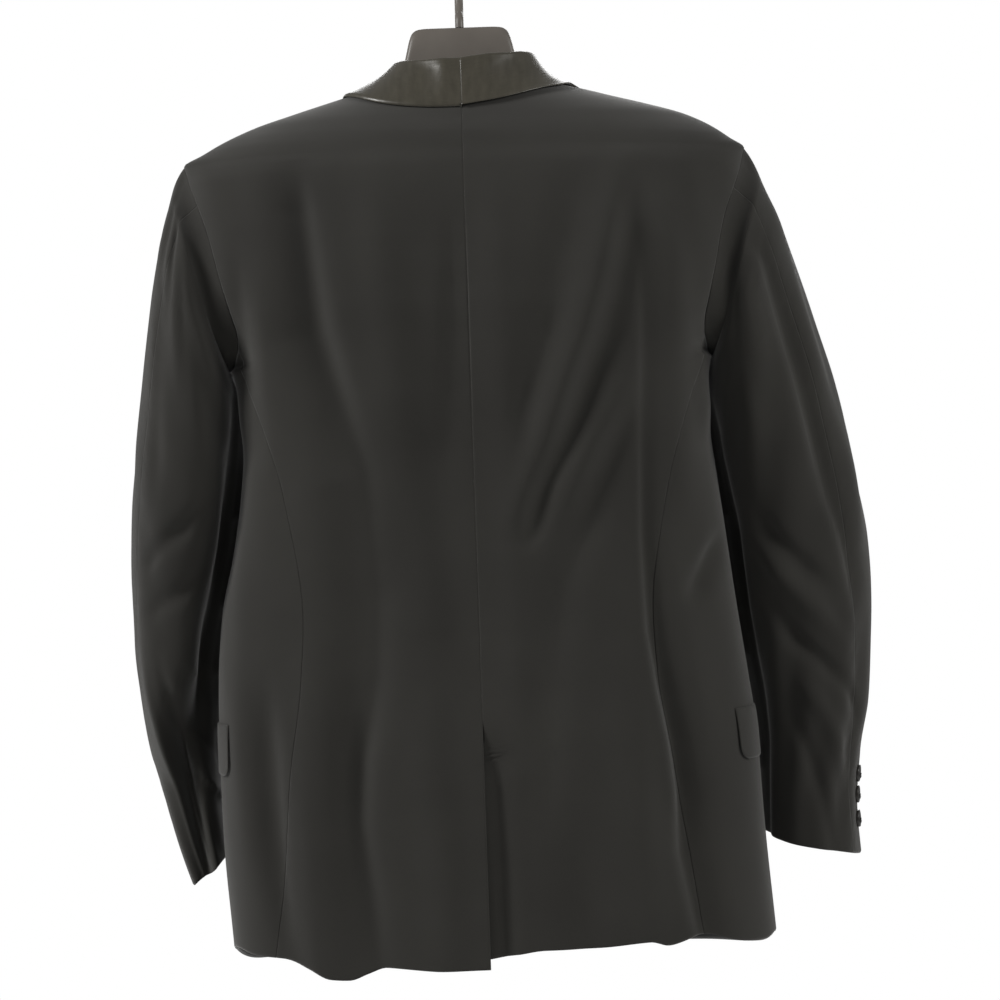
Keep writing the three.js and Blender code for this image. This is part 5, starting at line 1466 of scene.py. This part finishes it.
@dataclass
class ShawlCollar:
    """The satin shawl collar: a stand, a rolled edge and a leaf that runs down each front."""

    form: BodyForm
    finishes: Finishes
    wall: float = 1.6
    seam_gap: float = 0.8
    leaf_lift: float = 1.5
    neck_roll: float = 6.0
    stand_lean: float = 0.35
    neck_hug: float = 0.5
    lapel_hug: float = 0.6
    edge_turn: float = 1.1
    stations: int = 150
    easings: int = 8
    easing_start: tuple[float, float] = (90, 130)
    easing_end: tuple[float, float] = (300, 250)
    seam_depth: float = 0.9
    rim_width: float = 0.6
    rim_share: float = 0.6
    turn_width: float = 1.6
    joint_sink: float = 0.04
    joint_width: float = 1.2
    rise_foot: tuple[float, float] = (-160, -104)
    lapel_columns: tuple[str, ...] = ("rise", "roll", "leaf_x", "leaf_level")
    stand_points: int = 8
    arc_points: int = 11
    leaf_points: int = 22
    flat: tuple[float, float] = (0.17, 0.70)

    def seam(self, side: Side, t: float, level: float, onward: np.ndarray) -> tuple[np.ndarray, ...]:
        """Middle of the wall at the collar's seam, the normal there and the way on."""
        place = self.form.point(side, np.array([t]), np.array([level]))[0]
        normal = self.form.normal(side, np.array([t]), np.array([level]))[0]
        way = unit(onward - normal * np.dot(onward, normal))
        return place - normal * self.seam_depth, normal, way

    def leaf(self, side: Side, t: float, level: float) -> tuple[np.ndarray, np.ndarray]:
        """Place and normal of the leaf's edge."""
        normal = self.form.normal(side, np.array([t]), np.array([level]))[0]
        place = self.form.point(side, np.array([t]), np.array([level]))[0]
        return place + normal * (self.leaf_lift + self.wall / 2), normal

    def curve(self, start: np.ndarray, control: np.ndarray, end: np.ndarray, count: int) -> np.ndarray:
        """Places on a quadratic curve, its end left out."""
        share = (np.arange(count) / count)[:, None]
        return (1 - share) ** 2 * start + 2 * share * (1 - share) * control + share**2 * end

    def section(
        self,
        stand: np.ndarray,
        fold: np.ndarray,
        aside: np.ndarray,
        up: np.ndarray,
        roll: float,
        leaf: tuple,
        hug: float,
    ) -> np.ndarray:
        """A section from the seam over the rolled edge to the leaf's edge.

        Args:
            stand: Places of the stand.
            fold: Middle of the rolled edge.
            aside: The way from the stand to the leaf.
            up: The way out over the roll.
            roll: Width of the roll.
            leaf: Place and normal of the leaf's edge.
            hug: Share of the leaf's length that lies close.

        Returns:
            The section's places.
        """
        turn = np.linspace(0, np.pi, self.arc_points)[:, None]
        arc = fold - aside * (roll / 2) * np.cos(turn) + up * (roll / 2) * np.sin(turn)
        back = arc[-1] - leaf[0]
        close = unit(back - leaf[1] * np.dot(back, leaf[1]))
        control = leaf[0] + close * np.linalg.norm(back) * hug
        drop = self.curve(arc[-1], control, leaf[0], self.leaf_points)[1:]
        return np.concatenate([stand, arc, drop, leaf[0][None]])

    def sections(self, side: Side) -> np.ndarray:
        """Sections round the neck and down the front."""
        made = []
        up = np.array([0.0, 0.0, 1.0])
        neck_end = float(self.form.front_edge_t(side, np.array([self.form.neck]))[0])
        for t, x, y, z, leaf_t, leaf_level in COLLAR_SECTIONS[side]:
            if t <= -90:
                t = leaf_t = -90.0
            base, normal, way = self.seam(side, min(t, neck_end), self.form.neck, up)
            fold, leaf = np.array([side.value * x, y, z], float), self.leaf(side, leaf_t, leaf_level)
            start = base + way * self.seam_gap
            rising = unit(fold - start)
            across = unit((leaf[0] - fold) * (1, 1, 0))
            aside = unit(across - rising * np.dot(across, rising))
            inner = fold - aside * self.neck_roll / 2
            lead = start + way * np.linalg.norm(inner - start) * self.stand_lean
            stand = self.curve(start, lead, inner, self.stand_points)
            made.append(self.section(stand, fold, aside, rising, self.neck_roll, leaf, self.neck_hug))
        for level in LAPEL_LEVELS:
            rise, roll, leaf_x, leaf_level = (
                float(LAPEL_SHAPE.read(name, np.array([level]))[0]) for name in self.lapel_columns)
            rising = mix(self.stand_lean, 1, float(smooth(*self.rise_foot, level)))
            edge_t = float(self.form.front_edge_t(side, np.array([float(level)]))[0])
            base, normal, way = self.seam(side, edge_t, level, np.array([-side.value, 0, rising]))
            fold = base + way * rise + normal * roll / 2
            leaf_t = float(self.form.angle_at_x(side, np.array([leaf_level]), np.array([leaf_x]))[0])
            start, inner = base + way * self.seam_gap, fold - normal * roll / 2
            stand = start + (inner - start) * (np.arange(self.stand_points) / self.stand_points)[:, None]
            leaf = self.leaf(side, leaf_t, leaf_level)
            made.append(self.section(stand, fold, normal, way, roll, leaf, self.lapel_hug))
        return np.array(made)

    def resampled(self, sections: np.ndarray) -> np.ndarray:
        """Sections at even steps, on smooth curves through the given ones."""
        step = np.linalg.norm(np.diff(sections, axis=0), axis=-1).mean(axis=1)
        place = np.concatenate([[0], np.cumsum(step)])
        tangent = np.gradient(sections, place, axis=0)
        at = np.unique(np.concatenate([np.linspace(0, place[-1], self.stations), [1.0, 2.5, place[-1] - 1.0]]))
        row = np.clip(np.searchsorted(place, at) - 1, 0, len(step) - 1)
        span = (place[row + 1] - place[row])[:, None, None]
        share = ((at - place[row])[:, None, None]) / span
        square, cube = share**2, share**3
        grid = (
            (2 * cube - 3 * square + 1) * sections[row]
            + (cube - 2 * square + share) * span * tangent[row]
            + (3 * square - 2 * cube) * sections[row + 1]
            + (cube - square) * span * tangent[row + 1]
        )
        reach = (smooth(*self.easing_start, at) * smooth(*self.easing_end, at))[1:-1, None, None]
        for _ in range(self.easings):
            even = (grid[:-2] + 2 * grid[1:-1] + grid[2:]) / 4
            grid[1:-1] = mix(grid[1:-1], even, reach)
        return grid

    def half(self, side: Side) -> bpy.types.Object:
        """One half of the collar.

        Args:
            side: The side.

        Returns:
            The piece.
        """
        grid = self.resampled(self.sections(side))
        normal = unit(np.cross(np.gradient(grid, axis=0), np.gradient(grid, axis=1)))
        across = np.linalg.norm(np.diff(grid, axis=1), axis=-1)
        across = np.concatenate([np.zeros((len(grid), 1)), np.cumsum(across, axis=1)], axis=1)
        rim = bell((across[:, -1:] - across) / self.rim_width)
        down = np.linalg.norm(np.diff(grid, axis=0), axis=-1)
        down = np.concatenate([np.zeros((1, grid.shape[1])), np.cumsum(down, axis=0)], axis=0)
        rise = sum(fold.rise_at(down, across) for fold in COLLAR_FOLDS[side])
        rise = rise - self.edge_turn * bell((across[:, -1:] - across) / self.turn_width)
        grid = grid + normal * rise[..., None]
        half = (self.wall / 2) * (1 - self.rim_share * rim) - self.joint_sink * bell(down / self.joint_width)
        outer, inner = grid + normal * half[..., None], grid - normal * half[..., None]
        node = f"collar_{side.word}"
        flat = np.stack([across, -down], axis=-1) * MM
        piece = wall_object(f"{node}_satin", outer, inner, flat, self.finishes.satin, self.finishes.satin)
        hand_over(piece, "satin", node)
        return piece

    def build(self) -> None:
        """Builds both halves."""
        for side in Side:
            self.half(side)


@dataclass
class PocketFlap:
    """A pocket flap on the side panel and the front, with rounded lower corners."""

    side: Side
    form: BodyForm
    finishes: Finishes
    top: float = -650
    bottom: float = -694
    rear_x: float = 217
    length: float = 150
    standoff: float = 0.25
    rear_flare: float = 1.2
    corner: float = 11
    wall: float = 1.2
    seam_sink: float = 0.5
    flare_length: float = 40
    column_steps: tuple[float, ...] = (0, 0.6, 1.4, 2.6, 4.4, 7, 10)
    row_steps: tuple[float, ...] = (0, 0.6, 1.4, 2.6, 4.4, 7)
    flat: tuple[float, float] = (0.152, 0.045)

    def build(self) -> bpy.types.Object:
        """Builds the flap.

        Returns:
            The piece.
        """
        middle = (self.top + self.bottom) / 2
        fine = np.linspace(-89, 89, 3000)
        line = self.form.point(self.side, fine, np.full(fine.shape, middle))
        run = np.concatenate([[0], np.cumsum(np.linalg.norm(np.diff(line, axis=0), axis=-1))])
        start_t = -float(self.form.angle_at_x(self.side, np.array([middle]), np.array([self.rear_x]))[0])
        start = float(np.interp(start_t, fine, run))
        across = steps_between((0, self.length), 3.0, self.column_steps)
        drop = steps_between((0, self.top - self.bottom), 2.5, self.row_steps)
        edge = np.minimum(across, self.length - across)
        short = self.corner - np.sqrt(np.maximum(self.corner**2 - np.maximum(self.corner - edge, 0) ** 2, 0))
        height = self.top - self.bottom
        depth = drop[:, None] * (1 - short[None, :] / height)
        t = np.broadcast_to(np.interp(start + across, run, fine)[None, :], depth.shape)
        level = self.top - depth
        flare = self.rear_flare * smooth(self.flare_length, 0, across)[None, :] * drop[:, None] / height
        places = self.form.point(self.side, t, level)
        normal = self.form.normal(self.side, t, level)
        places = places + normal * (self.standoff + self.wall + flare)[..., None]
        node = f"pocket_flap_{self.side.word}"
        edges = (Edge.SEAM, Edge.FREE, Edge.FREE, Edge.FREE)
        cloth = ClothPiece(f"{node}_cloth", places, self.form.away(places), edges, self.wall, seam_sink=self.seam_sink)
        piece = hand_over(cloth.build(self.finishes.wool, self.finishes.lining), "wool", node)
        return piece


def choose(*pieces: bpy.types.Object) -> None:
    """Selects only the given objects, the first one as the active one."""
    if bpy.context.object and bpy.context.object.mode != "OBJECT":
        bpy.ops.object.mode_set(mode="OBJECT")
    bpy.ops.object.select_all(action="DESELECT")
    for piece in pieces:
        piece.select_set(True)
    if pieces:
        bpy.context.view_layer.objects.active = pieces[0]


def smooth_shaded(piece: bpy.types.Object, finish: bpy.types.Material, sharp: float) -> None:
    """Gives a piece its finish and shades it smooth below an angle in degrees."""
    piece.data.materials.clear()
    piece.data.materials.append(finish)
    choose(piece)
    bpy.ops.object.shade_smooth_by_angle(angle=sharp * RADIANS)


def chosen_ring(shape: bmesh.types.BMesh, corners: int) -> list[tuple[bmesh.types.BMVert, float]]:
    """The selected ring of a mesh in edit mode, each vertex with its turn.

    Args:
        shape: The mesh, begun with a circle of so many corners.
        corners: Corners of a ring.

    Returns:
        The ring's vertices with their turns in radians.
    """
    layer = shape.verts.layers.int.get("corner") or shape.verts.layers.int.new("corner")
    shape.verts.index_update()
    ring = sorted((vertex for vertex in shape.verts if vertex.select), key=lambda vertex: vertex.index)
    if all(vertex[layer] == 0 for vertex in ring):
        for corner, vertex in enumerate(ring):
            vertex[layer] = corner
    return [(vertex, vertex[layer] / corners * 2 * math.pi) for vertex in ring]


@dataclass
class SewnButton:
    """A four-hole button with a raised rim, its thread cross and its shank."""

    finishes: Finishes
    radius: float = 7.6
    height: float = 3.6
    rim: float = 1.7
    well: float = 1.3
    hole: float = 0.75
    hole_ring: float = 1.9
    thread: float = 0.42
    seat: float = 0.6
    corners: int = 40
    step_width: float = 0.8
    bevel: float = 0.7
    shank: float = 1.5
    shank_length: float = 2.4
    stitch_rise: float = 0.25
    stitch_shifts: tuple[float, ...] = (-0.4, 0, 0.4)
    sharp: float = 35

    def disc(self) -> bpy.types.Object:
        """The button's body, modelled from a cylinder at the origin with its back at height zero.

        Returns:
            The object.
        """
        choose()
        bpy.ops.mesh.primitive_cylinder_add(
            vertices=self.corners, radius=self.radius * MM, depth=self.height * MM, location=(0, 0, self.height * MM / 2))
        disc = bpy.context.object
        self.select_top(disc, self.height)
        bpy.ops.mesh.inset(thickness=self.rim * MM, depth=0)
        bpy.ops.mesh.inset(thickness=self.step_width * MM, depth=-self.well * MM)
        self.select_rims(disc)
        bpy.ops.mesh.bevel(offset=self.bevel * MM, segments=3, profile=0.5)
        bpy.ops.object.mode_set(mode="OBJECT")
        for corner in range(4):
            turn = (corner + 0.5) * math.pi / 2
            self.cut_hole(disc, self.hole_ring * math.cos(turn), self.hole_ring * math.sin(turn))
        return disc

    def select_top(self, disc: bpy.types.Object, level: float) -> None:
        """Selects the upper face in edit mode."""
        bpy.ops.object.mode_set(mode="EDIT")
        bpy.ops.mesh.select_mode(type="FACE")
        bpy.ops.mesh.select_all(action="DESELECT")
        shape = bmesh.from_edit_mesh(disc.data)
        for face in shape.faces:
            face.select_set(face.normal.z > 0.9 and face.calc_center_median().z > (level - 0.1) * MM)
        bmesh.update_edit_mesh(disc.data)

    def select_rims(self, disc: bpy.types.Object) -> None:
        """Selects the rim's two upper edges and the back's edge."""
        bpy.ops.mesh.select_mode(type="EDGE")
        bpy.ops.mesh.select_all(action="DESELECT")
        shape = bmesh.from_edit_mesh(disc.data)
        for edge in shape.edges:
            ends = [vertex.co for vertex in edge.verts]
            flat = abs(ends[0].z - ends[1].z) < 1e-6
            wide = all(math.hypot(end.x, end.y) > (self.radius - self.rim - 0.2) * MM for end in ends)
            round_way = abs(math.hypot(ends[0].x, ends[0].y) - math.hypot(ends[1].x, ends[1].y)) < 1e-6
            edge.select_set(flat and wide and round_way)
        bmesh.update_edit_mesh(disc.data)

    def cut_hole(self, disc: bpy.types.Object, x: float, y: float) -> None:
        """Cuts one hole through the button."""
        choose()
        bpy.ops.mesh.primitive_cylinder_add(
            vertices=12, radius=self.hole * MM, depth=3 * self.height * MM, location=(x * MM, y * MM, 0))
        drill = bpy.context.object
        choose(disc)
        cut = disc.modifiers.new("hole", "BOOLEAN")
        cut.operation, cut.object, cut.solver = "DIFFERENCE", drill, "EXACT"
        bpy.ops.object.modifier_apply(modifier=cut.name)
        bpy.data.objects.remove(drill)

    def stitch(self) -> bpy.types.Object:
        """The thread: a cross over the holes and a wrapped shank below.

        Returns:
            The object.
        """
        choose()
        made = []
        top = self.height - self.well + self.stitch_rise
        for turn in (math.pi / 4, 3 * math.pi / 4):
            for shift in self.stitch_shifts:
                bpy.ops.mesh.primitive_cylinder_add(
                    vertices=10, radius=self.thread * MM, depth=2.3 * self.hole_ring * MM, location=(0, 0, top * MM),
                    rotation=(math.pi / 2, 0, turn))
                bar = bpy.context.object
                across = Vector((math.cos(turn), math.sin(turn), 0)) * shift * MM
                bar.data.transform(bar.matrix_world)
                bar.matrix_world = Matrix.Translation(across)
                made.append(bar)
        bpy.ops.mesh.primitive_cylinder_add(
            vertices=16, radius=self.shank * MM, depth=(self.seat + self.shank_length) * MM,
            location=(0, 0, -self.seat * MM / 2))
        made.append(bpy.context.object)
        choose(*made)
        bpy.ops.object.join()
        thread = bpy.context.object
        bpy.ops.object.transform_apply(location=True, rotation=True, scale=True)
        return thread

    def sew(self, pattern: tuple, node: str, place: np.ndarray, normal: np.ndarray) -> None:
        """Sews a copy of the button on at a place.

        Args:
            pattern: The button's body and thread at the origin.
            node: The node that it stands for.
            place: Place of the cloth under it.
            normal: The cloth's outward normal.
        """
        turn = Vector((0, 0, 1)).rotation_difference(Vector(normal)).to_matrix().to_4x4()
        at = Matrix.Translation(Vector((place + normal * self.seat) * MM)) @ turn
        for part, ending, slot, material in (
            (pattern[0], "sewn", "button", self.finishes.button),
            (pattern[1], "thread", "button", self.finishes.thread),
        ):
            copy = part.copy()
            copy.data = part.data.copy()
            copy.name = f"{node}_{ending}"
            copy.data.name = copy.name
            bpy.context.scene.collection.objects.link(copy)
            copy.data.transform(at)
            for face in copy.data.polygons:
                face.use_smooth = True
            smooth_shaded(copy, material, self.sharp)
            if ending == "sewn":
                hand_over(copy, slot, node)
            else:
                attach(copy, BODY)

    def patterns(self) -> tuple[bpy.types.Object, bpy.types.Object]:
        """The button's body and thread at the origin, to be copied."""
        return self.disc(), self.stitch()


@dataclass
class Buttons:
    """Three buttons on each cuff and the closing button of the fronts."""

    form: BodyForm
    finishes: Finishes
    sleeves: dict[Side, Sleeve]
    cuff_levels: tuple[float, ...] = (0.905, 0.934, 0.963)
    cuff_angles: dict[Side, float] = field(default_factory=lambda: {Side.LEFT: 34.0, Side.RIGHT: -19.0})
    front_radius: float = 10
    front_level: float = -562

    def build(self) -> None:
        """Sews on all seven buttons."""
        cuff = SewnButton(self.finishes)
        pattern = cuff.patterns()
        for side in Side:
            for number, along in enumerate(self.cuff_levels, 1):
                place, normal = self.sleeves[side].button_seat(self.cuff_angles[side], along)
                cuff.sew(pattern, f"cuff_button_{side.word}_{number}", place, normal)
        front = SewnButton(self.finishes, radius=self.front_radius, rim=2.1, hole=0.95, hole_ring=2.5, thread=0.5)
        large = front.patterns()
        level = np.array([float(self.front_level)])
        t = self.form.angle_at_x(Side.LEFT, level, np.array([0.3]))
        place, normal = self.form.point(Side.LEFT, t, level)[0], self.form.normal(Side.LEFT, t, level)[0]
        front.sew(large, "front_button", place, normal)
        for part in (*pattern, *large):
            bpy.data.objects.remove(part)


@dataclass
class SuitHanger:
    """The contoured hanger, lofted through its stations, and the hook with its loop."""

    form: BodyForm
    finishes: Finishes
    sides: int = 32
    seat: float = 0.9
    wall: float = 2
    neck_reach: float = 75
    neck_squareness: float = 3
    arm_squareness: float = 2.2
    crown: float = -51
    loop_radius: float = 22.25
    rod: float = 3.75
    loop_start: float = -70
    loop_end: float = 200
    loop_level: float = -18.5
    loop_step: float = 6
    hook_corners: int = 24
    tip_shares: tuple[float, ...] = (0.35, 0.7, 0.92)
    tip_length: float = 0.9
    neck_ease: float = 12
    tip_start: float = 205
    tip_slope: float = 0.5
    sharp: float = 50

    def ridge(self, side: Side, x: float) -> float:
        """Level of the shoulder's ridge at a distance from the middle."""
        levels = np.linspace(self.form.neck, self.form.shoulder_tip, 600)
        return float(np.interp(x, self.form.width(side, levels), levels))

    def stations(self, side: Side) -> list[tuple[float, float, float, float]]:
        """Distance, top, bottom and half depth of each section of one half."""
        made = list(HANGER_HUMP)
        for x, height, depth in HANGER_ARM:
            top = self.ridge(side, x) - self.wall - self.seat - self.tip_slope * max(x - self.tip_start, 0)
            made.append((x, top, top - height, depth))
        return made

    def loft(self) -> bpy.types.Object:
        """The hanger's body, extruded from section to section and smoothed.

        Returns:
            The object.
        """
        left = [(-x, *rest) for x, *rest in self.stations(Side.LEFT)[1:]][::-1]
        sections = left + self.stations(Side.RIGHT)
        table = Table("x top bottom depth", sections)
        knots = np.unique(np.concatenate([table.key, (table.key[1:] + table.key[:-1]) / 2]))
        bpy.ops.object.select_all(action="DESELECT")
        bpy.ops.mesh.primitive_circle_add(vertices=self.sides, radius=0.01, fill_type="NGON")
        hanger = bpy.context.object
        bpy.ops.object.mode_set(mode="EDIT")
        self.shape_ring(hanger, table, knots[0])
        for x in knots[1:]:
            bpy.ops.mesh.extrude_region_move()
            self.shape_ring(hanger, table, x)
        bpy.ops.mesh.select_all(action="SELECT")
        bpy.ops.mesh.normals_make_consistent(inside=False)
        bpy.ops.object.mode_set(mode="OBJECT")
        hanger.name = hanger.data.name = "hanger_body"
        return hanger

    def shape_ring(self, hanger: bpy.types.Object, table: Table, x: float) -> None:
        """Moves the selected ring to its section.

        Args:
            hanger: The object in edit mode.
            table: The hanger's sections.
            x: Distance of the section from the middle.
        """
        top, bottom, depth = (float(table.read(name, np.array([x]))[0]) for name in ("top", "bottom", "depth"))
        neck = float(smooth(self.neck_reach + self.neck_ease, self.neck_reach - self.neck_ease, abs(x)))
        power = 2 / mix(self.arm_squareness, self.neck_squareness, neck)
        shape = bmesh.from_edit_mesh(hanger.data)
        for vertex, turn in chosen_ring(shape, self.sides):
            across = float(signed_power(math.cos(turn), power)) * depth
            upward = float(signed_power(math.sin(turn), power)) * (top - bottom) / 2
            vertex.co = Vector((x, across, (top + bottom) / 2 + upward)) * MM
        bmesh.update_edit_mesh(hanger.data)

    def hook_path(self) -> np.ndarray:
        """Middle line of the hook in its plane, from the crown to the loop's end."""
        path = [(0, self.crown + 0.3), (0, self.crown + 2), (0, self.crown + 4), (0.4, self.crown + 6.4),
                (1.4, self.crown + 8.8), (3.6, self.crown + 10.8)]
        for angle in np.arange(self.loop_start, self.loop_end + 1, self.loop_step):
            turn = angle * RADIANS
            path.append((self.loop_radius * math.cos(turn), self.loop_level + self.loop_radius * math.sin(turn)))
        return np.array(path)

    def hook(self) -> bpy.types.Object:
        """The hook, a round rod extruded along its line with a rounded end.

        Returns:
            The object.
        """
        path = self.hook_path()
        along = unit(np.gradient(path, axis=0))
        bpy.ops.object.select_all(action="DESELECT")
        bpy.ops.mesh.primitive_circle_add(vertices=self.hook_corners, radius=self.rod * MM, fill_type="NGON")
        hook = bpy.context.object
        bpy.ops.object.mode_set(mode="EDIT")
        rings = [(place, way, 1.0) for place, way in zip(path, along)]
        for share in self.tip_shares:
            tip = path[-1] + along[-1] * self.rod * share * self.tip_length
            rings.append((tip, along[-1], math.sqrt(1 - share**2)))
        for number, (place, way, width) in enumerate(rings):
            if number:
                bpy.ops.mesh.extrude_region_move()
            shape = bmesh.from_edit_mesh(hook.data)
            for vertex, turn in chosen_ring(shape, self.hook_corners):
                aside, out = self.rod * width * math.cos(turn), self.rod * width * math.sin(turn)
                vertex.co = Vector((aside, place[0] - way[1] * out, place[1] + way[0] * out)) * MM
            bmesh.update_edit_mesh(hook.data)
        bpy.ops.mesh.select_all(action="SELECT")
        bpy.ops.mesh.normals_make_consistent(inside=False)
        bpy.ops.object.mode_set(mode="OBJECT")
        hook.name = hook.data.name = "hook_rod"
        return hook

    def build(self) -> None:
        """Builds the hanger and the hook."""
        for piece, node in ((self.loft(), "hanger"), (self.hook(), "hook")):
            smooth_shaded(piece, self.finishes.hanger, self.sharp)
            hand_over(piece, "hanger_plastic", node)


@dataclass
class Studio:
    """Camera at the photographed angle, soft lights and a pale floor."""

    distance: float = 2.4
    aim: tuple[float, float] = (0.021, -0.465)
    roll: float = -2.0
    frame_width: float = 0.875
    floor_level: float = -1.3

    def camera(self) -> None:
        """Makes the camera."""
        data = bpy.data.cameras.new("camera")
        data.sensor_width = 36
        data.lens = data.sensor_width * self.distance / self.frame_width
        camera = bpy.data.objects.new("camera", data)
        bpy.context.scene.collection.objects.link(camera)
        turn = Matrix.Rotation(math.pi / 2, 4, "X") @ Matrix.Rotation(self.roll * RADIANS, 4, "Z")
        camera.matrix_world = Matrix.Translation((self.aim[0], -self.distance, self.aim[1])) @ turn
        bpy.context.scene.camera = camera

    def light(self, name: str, place: tuple, aim: tuple, size: float, power: float, colour: tuple) -> None:
        """Makes a soft light.

        Args:
            name: Its name.
            place: Where it stands.
            aim: Where it points.
            size: Its width.
            power: Its power in watts.
            colour: Its colour.
        """
        data = bpy.data.lights.new(name, "AREA")
        data.size, data.energy, data.color = size, power, colour
        lamp = bpy.data.objects.new(name, data)
        bpy.context.scene.collection.objects.link(lamp)
        way = Vector(aim) - Vector(place)
        lamp.matrix_world = Matrix.Translation(place) @ way.to_track_quat("-Z", "Y").to_matrix().to_4x4()

    def surroundings(self) -> None:
        """A white world that is dimmer as a light than as a backdrop."""
        world = bpy.data.worlds.new("studio")
        world.use_nodes = True
        nodes, links = world.node_tree.nodes, world.node_tree.links
        back = nodes["Background"]
        back.inputs["Color"].default_value = (1, 1, 1, 1)
        path = nodes.new("ShaderNodeLightPath")
        strength = nodes.new("ShaderNodeMapRange")
        strength.inputs["To Min"].default_value = 0.2
        strength.inputs["To Max"].default_value = 1.0
        links.new(path.outputs["Is Camera Ray"], strength.inputs["Value"])
        links.new(strength.outputs["Result"], back.inputs["Strength"])
        bpy.context.scene.world = world

    def floor(self) -> None:
        """Makes the floor."""
        bpy.ops.object.select_all(action="DESELECT")
        bpy.ops.mesh.primitive_plane_add(size=2.4, location=(0, 0, self.floor_level))
        floor = bpy.context.object
        floor.name = "floor"
        finish = PlasticFinish("pale_floor", (0.78, 0.78, 0.77), (0.82, 0.82, 0.81), 0.7, 60, 0.05)
        floor.data.materials.append(finish.material())

    def build(self) -> None:
        """Builds the studio."""
        self.camera()
        self.surroundings()
        self.floor()
        self.light("key", (-2.35, -0.92, 1.0), (0, 0, -0.35), 0.7, 68, (1, 0.99, 0.97))
        self.light("fill", (2.1, -1.15, 0.5), (0, 0, -0.4), 0.8, 36, (1, 0.99, 0.96))
        self.light("front", (0.3, 2.4, 0.5), (0, 0, -0.4), 1.6, 36, (1, 1, 1))
        bpy.context.scene.view_settings.view_transform = "Standard"


def main() -> None:
    """Builds the jacket, its hanger and the studio."""
    logging.basicConfig(level=logging.INFO, format="%(name)s: %(message)s")
    Studio().build()
    finishes = Finishes()
    form = BodyForm()
    JacketBody(form, finishes).build()
    sleeves = {side: Sleeve(side, form, finishes) for side in Side}
    for sleeve in sleeves.values():
        sleeve.build()
    ShawlCollar(form, finishes).build()
    for side in Side:
        PocketFlap(side, form, finishes).build()
    Buttons(form, finishes, sleeves).build()
    SuitHanger(form, finishes).build()


if __name__ == "__main__":
    main()
